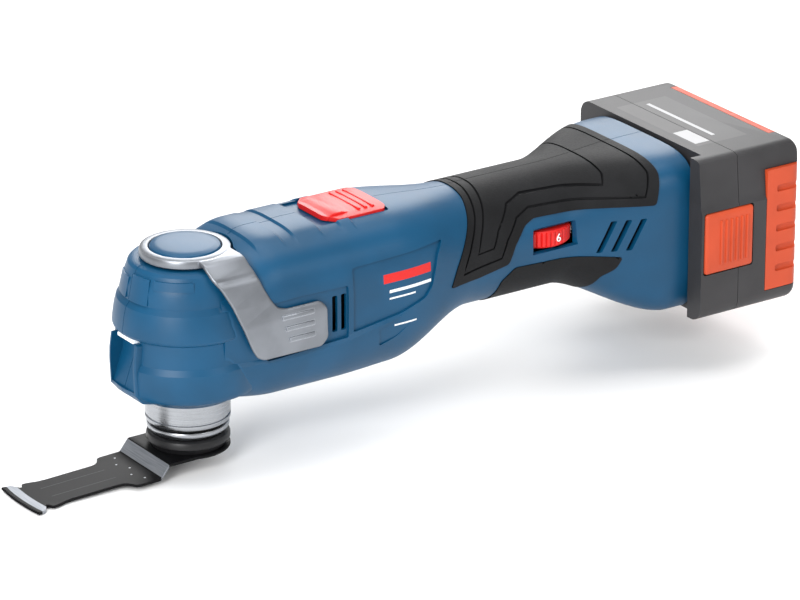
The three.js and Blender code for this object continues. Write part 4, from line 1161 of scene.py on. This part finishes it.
def clamp_foot(material):
    low, high = FOOT_LOW.z, FOOT_HIGH.z
    bm = lathe([
        (0, low), (2.6, low), (2.6, low + 0.01), (7.0, low), (8.0, low + 0.4), (8.4, low + 1.3),
        (8.4, low + 2.6), (8.0, low + 3.0), (4.6, low + 3.2), (4.6, high - 2.7), (7.6, high - 2.5),
        (8.0, high - 2.1), (8.0, high - 0.4), (7.6, high), (0, high)], 64)
    socket = moved(lathe([(0, -2), (2.4, -2), (2.4, 2.2), (0, 2.4)], 6), z=low)
    piece("clamping_rod", cut(bm, socket), "clamp_rod", "clamp_rod", material, 30)


# ---- lamp, slider and dial


def lens(material):
    bm = block(LENS_LOW, LENS_HIGH, 0.5, 3)
    piece("lamp_lens", bm, "tool_body", "led_lens", material, 30)


def slider(material):
    x0, x1, half = SLIDER_LOW.x, SLIDER_HIGH.x, SLIDER_HIGH.y
    top = SLIDER_HIGH.z
    outline = soft([
        (x0, -half + 6), (x0 + 5, -half), (x1 - 2, -half), (x1, -half + 3), (x1, half - 3),
        (x1 - 2, half), (x0 + 5, half), (x0, half - 6)], 1.4, 4)
    low = FRONT_SECTION[1] - WALL + 0.8 + GAP
    pad = common(slab("Z", outline, low, 60), barrel(-0.9, FRONT_START, GRIP_START, 3))
    bump_outline = [
        (x0 + 1.0, low), (x0 + 1.6, top - 1.2), (x0 + 4.2, top), (x0 + 9.0, top - 0.1),
        (x0 + 12.5, top - 1.0), (x0 + 16, low + 1)]
    bump = slab("Y", bump_outline, -half + 3.4, half - 3.4)
    round_edges(bump, sharp_edges(bump, 60), 0.5, 3)
    pad = union(pad, bump)
    for number in range(3):
        x = x0 + 17.5 + number * 3.6
        rib = block((x, -half + 3.5, top - 3), (x + 1.5, half - 3.5, top - 0.35), 0.4, 3)
        pad = union(pad, rib)
    stem_low = SLIDER_LOW.z
    pad = union(pad, block((76, -3.7, stem_low), (85, 3.7, low + 0.6)))
    piece("power_slide_pad", pad, "slider", "power_slider", material, 32)


def dial(material):
    radius, low, high = DIAL_RADIUS, DIAL_LOW.z, DIAL_HIGH.z
    teeth = 44
    tooth = [(0.0, radius - 0.75), (0.22, radius - 0.1), (0.5, radius), (0.78, radius - 0.1)]
    rim = []
    for number in range(teeth):
        start = 2 * math.pi * number / teeth
        for share, r in tooth:
            angle = start + 2 * math.pi / teeth * share
            rim.append((r * math.cos(angle), r * math.sin(angle)))
    crown = lathe([
        (0, low), (radius - 0.9, low), (radius, low + 0.9), (radius, high - 0.9),
        (radius - 0.9, high), (0, high)], 96)
    bm = cut(common(slab("Z", rim, low, high), crown), rod(2.8, -30, 30, 32))
    moved(bm, x=DIAL_CENTRE.x, y=DIAL_CENTRE.y)
    piece("speed_wheel", bm, "dial", "speed_dial", material, 32)


def numbers(material):
    """White numerals round the speed wheel."""
    for number in range(1, 7):
        name = f"numeral_{number}"
        curve = bpy.data.curves.new(name, "FONT")
        curve.body = str(number)
        curve.size = 5.4
        curve.extrude = 0.18
        curve.align_x = "CENTER"
        curve.align_y = "CENTER"
        thing = bpy.data.objects.new(name, curve)
        bpy.context.scene.collection.objects.link(thing)
        drawn = thing.evaluated_get(bpy.context.evaluated_depsgraph_get())
        mesh = bpy.data.meshes.new_from_object(drawn)
        bpy.data.objects.remove(thing)
        bm = bmesh.new()
        bm.from_mesh(mesh)
        bpy.data.meshes.remove(mesh)
        bmesh.ops.rotate(bm, verts=bm.verts, matrix=Matrix.Rotation(math.pi / 2, 3, "X"))
        moved(bm, y=-DIAL_RADIUS - 0.02, z=DIAL_CENTRE.z)
        turned(bm, 6 + (6 - number) * 45, "Z")
        moved(bm, x=DIAL_CENTRE.x, y=DIAL_CENTRE.y)
        added(name, bm, "dial", material)


# ---- battery pack

PACK_RADIUS = 7.0
TAIL_RADIUS = 4.5
RIBS = 6
BUMPER_HEIGHTS = (-32, 26)
STRIP_SIDES = (-36, 38)  # the bumper's narrower strip over the pack's top and bottom
STRIP_SETBACK = 12


def pack_form(x0, x1, inset=0.0):
    """Rounded block of the pack between two places."""
    low = Vector((x0, BASE_LOW.y + inset, BASE_LOW.z + inset))
    high = Vector((x1, BASE_HIGH.y - inset, BASE_HIGH.z - inset))
    bm = block(low, high)
    rear = [e for e in bm.edges if abs(e.verts[0].co.x - e.verts[1].co.x) > 1]
    return round_edges(bm, rear, PACK_RADIUS - min(inset, 4), 6)


def near_facets():
    """Tool that slopes the upper part of the pack's near end."""
    y = BASE_LOW.y
    outline = [(y - 5, 60), (y - 5, 12.4), (y, 12.4), (y + 0.9, 14.0), (y + 2.9, 34), (y + 4.5, 60)]
    return slab("X", outline, COVER_LOW.x - 5, BASE_HIGH.x + 5)


def button_room(clearance):
    low, high = BUTTON_LOW, BUTTON_HIGH
    return block(
        (low.x - clearance, low.y - 6, low.z - clearance),
        (high.x + clearance, high.y + 3.6, high.z + clearance), 1.2, 3)


def rail_grooves():
    middle = (BASE_LOW.z + BASE_HIGH.z) / 2
    tools = []
    for side in (-23, 23):
        z = middle + side
        for depth, half in ((8.5, 2.5), (8.5, 5.0)):
            front = REAR_X - 4 if half < 3 else REAR_X + 4.4
            tools.append(block((front, -34, z - half), (REAR_X + depth, BASE_HIGH.y + 1, z + half)))
    for side in (-8, 8):
        z = middle + side
        tools.append(block((REAR_X - 4, -12, z - 1.5), (REAR_X + 11, BASE_HIGH.y + 1, z + 1.5)))
    return tools


def closed_form(x0):
    """The pack's block from a place to its rear end, with the rear edges rounded."""
    form = pack_form(x0, BASE_HIGH.x)
    tail = [e for e in form.edges if min(v.co.x for v in e.verts) > BASE_HIGH.x - 0.01]
    return round_edges(form, tail, TAIL_RADIUS, 5)


def pack_cover(grey):
    seam = COVER_HIGH.x
    lip = common(
        pack_form(COVER_LOW.x, seam), block((200, BASE_LOW.y - 1, -60), (400, -42.1, 60)))
    front = union(pack_form(REAR_X + 2.3, seam), lip)
    front = cut(front, near_facets(), button_room(0.5), *rail_grooves())
    piece("pack_front_cover", front, "pack", "pack_cover", grey, 30)


def pack_case(grey):
    x, end = BUMPER_LOW.x + STRIP_SETBACK, BASE_HIGH.x + 5
    near, far = STRIP_SIDES[0] - GAP, STRIP_SIDES[1] + GAP
    seats = [
        block((BUMPER_LOW.x - GAP, BASE_LOW.y - 5, BUMPER_HEIGHTS[0] - GAP),
              (end, BASE_HIGH.y + 5, BUMPER_HEIGHTS[1] + GAP)),
        block((x, near, 20), (end, far, 60)),
        block((x, near, -60), (end, far, -20))]
    seats = [cut(seat, pack_form(200, BASE_HIGH.x - 5.3, 2.7)) for seat in seats]
    inside = pack_form(BASE_LOW.x - 5, BASE_HIGH.x - 10, 4.8)
    back = cut(closed_form(BASE_LOW.x), inside, near_facets(), button_room(0.5), *seats)
    piece("pack_rear_case", back, "pack", "pack_base", grey, 30)


def pack_bumper(orange):
    low, high = BUMPER_HEIGHTS
    zone = union(
        block((BUMPER_LOW.x, -70, low), (310, 70, high)),
        block((BUMPER_LOW.x + STRIP_SETBACK + GAP, STRIP_SIDES[0], -60), (310, STRIP_SIDES[1], 60)))
    bumper = cut(common(closed_form(BUMPER_LOW.x), zone), pack_form(200, BASE_HIGH.x - 5, 2.4))
    pitch = (high - low) / RIBS
    start = BUMPER_LOW.x + 5.5
    for number in range(1, RIBS):
        valley = low + (number - 0.5) * pitch + pitch / 2
        for x, y0, y1 in (
                (start, BASE_LOW.y - 4, BASE_LOW.y + 1.5), (start, BASE_HIGH.y - 1.5, BASE_HIGH.y + 4),
                (BASE_HIGH.x - 1.5, -70, 70)):
            groove = block((x, y0, valley - 1.7), (310, y1, valley + 1.7), 1.1, 3)
            bumper = cut(bumper, groove)
    piece("pack_ribbed_bumper", bumper, "pack", "pack_bumper", orange, 30)


def pack_key(orange):
    low, high = BUTTON_LOW, BUTTON_HIGH
    key = block((low.x, low.y + 0.6, low.z), high, 1.6, 4)
    for number in range(6):
        x = low.x + 8 + number * 2.9
        rib = block((x, low.y, low.z + 4), (x + 1.2, low.y + 2, high.z - 4), 0.35, 2)
        key = union(key, rib)
    piece("pack_release_key", key, "pack_button", "release_button", orange, 32)


# ---- plain inner nodes


def dress(nodes, material):
    for node in nodes:
        slots = frame["nodes"][node].material_slots
        for slot in slots:
            slot.material = material
        if not slots:
            frame["nodes"][node].data.materials.append(material)


# ------------------------------------------------------------------ camera, light and floor

AZIMUTH = math.radians(-34)
ELEVATION = math.radians(22)
DISTANCE = 2.2078
AIM = Vector((0.0784, -0.0493, CENTRELINE.z + 0.0072))
LENS = 229.5


def studio():
    toward = Vector((
        math.sin(AZIMUTH) * math.cos(ELEVATION),
        -math.cos(AZIMUTH) * math.cos(ELEVATION),
        math.sin(ELEVATION)))
    data = bpy.data.cameras.new("camera")
    data.lens = LENS
    data.sensor_width = 36.0
    data.clip_end = 20
    camera = bpy.data.objects.new("camera", data)
    camera.location = AIM + toward * DISTANCE
    camera.rotation_euler = (-toward).to_track_quat("-Z", "Y").to_euler()
    bpy.context.scene.collection.objects.link(camera)
    bpy.context.scene.camera = camera

    def softbox(name, place, size, energy, colour=(1, 1, 1)):
        light = bpy.data.lights.new(name, "AREA")
        light.shape = "RECTANGLE"
        light.size, light.size_y = size
        light.energy = energy
        light.color = colour
        lamp = bpy.data.objects.new(name, light)
        lamp.location = place
        centre = Vector((0.09, 0.0, 0.06))
        lamp.rotation_euler = (centre - Vector(place)).to_track_quat("-Z", "Y").to_euler()
        bpy.context.scene.collection.objects.link(lamp)

    softbox("key_softbox", (-1.15, -0.75, 0.75), (0.6, 0.9), 24)
    softbox("top_softbox", (0.15, 0.1, 1.5), (1.6, 1.0), 16)
    softbox("side_softbox", (0.55, -1.6, 0.9), (0.9, 0.5), 7)
    softbox("rear_softbox", (0.9, 1.1, 0.8), (0.8, 0.8), 12)

    world = bpy.data.worlds.new("studio")
    world.use_nodes = True
    background = world.node_tree.nodes["Background"]
    background.inputs["Color"].default_value = (1, 1, 1, 1)
    background.inputs["Strength"].default_value = 0.45
    bpy.context.scene.world = world
    bpy.context.scene.view_settings.view_transform = "Standard"

    bm = bmesh.new()
    bmesh.ops.create_grid(bm, x_segments=2, y_segments=2, size=6.0)
    mesh = bpy.data.meshes.new("studio_floor")
    bm.to_mesh(mesh)
    floor = bpy.data.objects.new("studio_floor", mesh)
    finish = Finish("floor_paper", (0.93, 0.93, 0.93), 0.8)
    tone = finish.noise(300, 2)
    finish.paint(finish.mix(tone, (0.92, 0.92, 0.92), (0.95, 0.95, 0.95)))
    mesh.materials.append(finish.material)
    mesh.transform(Matrix.Translation((0, 0, cad_bounds[0][2] - 0.0005)))
    bpy.context.scene.collection.objects.link(floor)


# ------------------------------------------------------------------ making

studio()

blue = shell_finish()
blue_cap = moulded("blue_cap", BLUE, 0.38).material
rubber = rubbery("black_rubber", CHARCOAL).material
red = moulded("red_plastic", RED, 0.36, light=1.1).material
cast = blasted("cast_silver", SILVER, 0.36).material
turned_metal = machined("turned_silver", (0.42, 0.435, 0.46), 0.24).material
steel = machined("ground_steel", (0.42, 0.42, 0.43), 0.3).material
black = moulded("black_plastic", (0.012, 0.012, 0.013), 0.5).material
grey = pack_finish()
orange = moulded("bumper_orange", ORANGE, 0.5, light=1.1).material
white = moulded("numeral_white", (0.85, 0.86, 0.86), 0.5, light=1.0).material
coated = blade_finish()

housing_halves(blue)
overmoulds(rubber)
lever(cast)
cap(blue_cap)
neck(turned_metal)
holder(turned_metal)
hub(moulded("hub_black", (0.009, 0.009, 0.010), 0.38).material)
blade(coated)
clamp_foot(steel)
lens(lens_finish())
slider(red)
dial(red)
numbers(white)
pack_cover(grey)
pack_case(grey)
pack_bumper(orange)
pack_key(orange)

dress(["led_board", "control_board"], board_finish())
dress(["stator"], winding_finish())
plated = machined("plated_contact", (0.55, 0.42, 0.2), 0.3).material
dress(["terminal_plus", "terminal_minus"], plated)
dress([f"cell_{number}" for number in range(1, 6)], cell_finish())
dress(["motor_housing", "power_switch", "dial_potentiometer", "battery_socket", "slider_link",
       "cooling_fan"], black)
dress(["neck_seal"], rubber)
dress(["heat_sink"], cast)
dress(SCREWS, steel)
dress(["upper_spindle_bearing", "lower_spindle_bearing", "front_motor_bearing",
       "rear_motor_bearing", "spindle", "fork_lever", "clamp_spring", "lever_cam", "rotor_shaft",
       "rotor_core", "balance_weight", "eccentric_bearing"], steel)
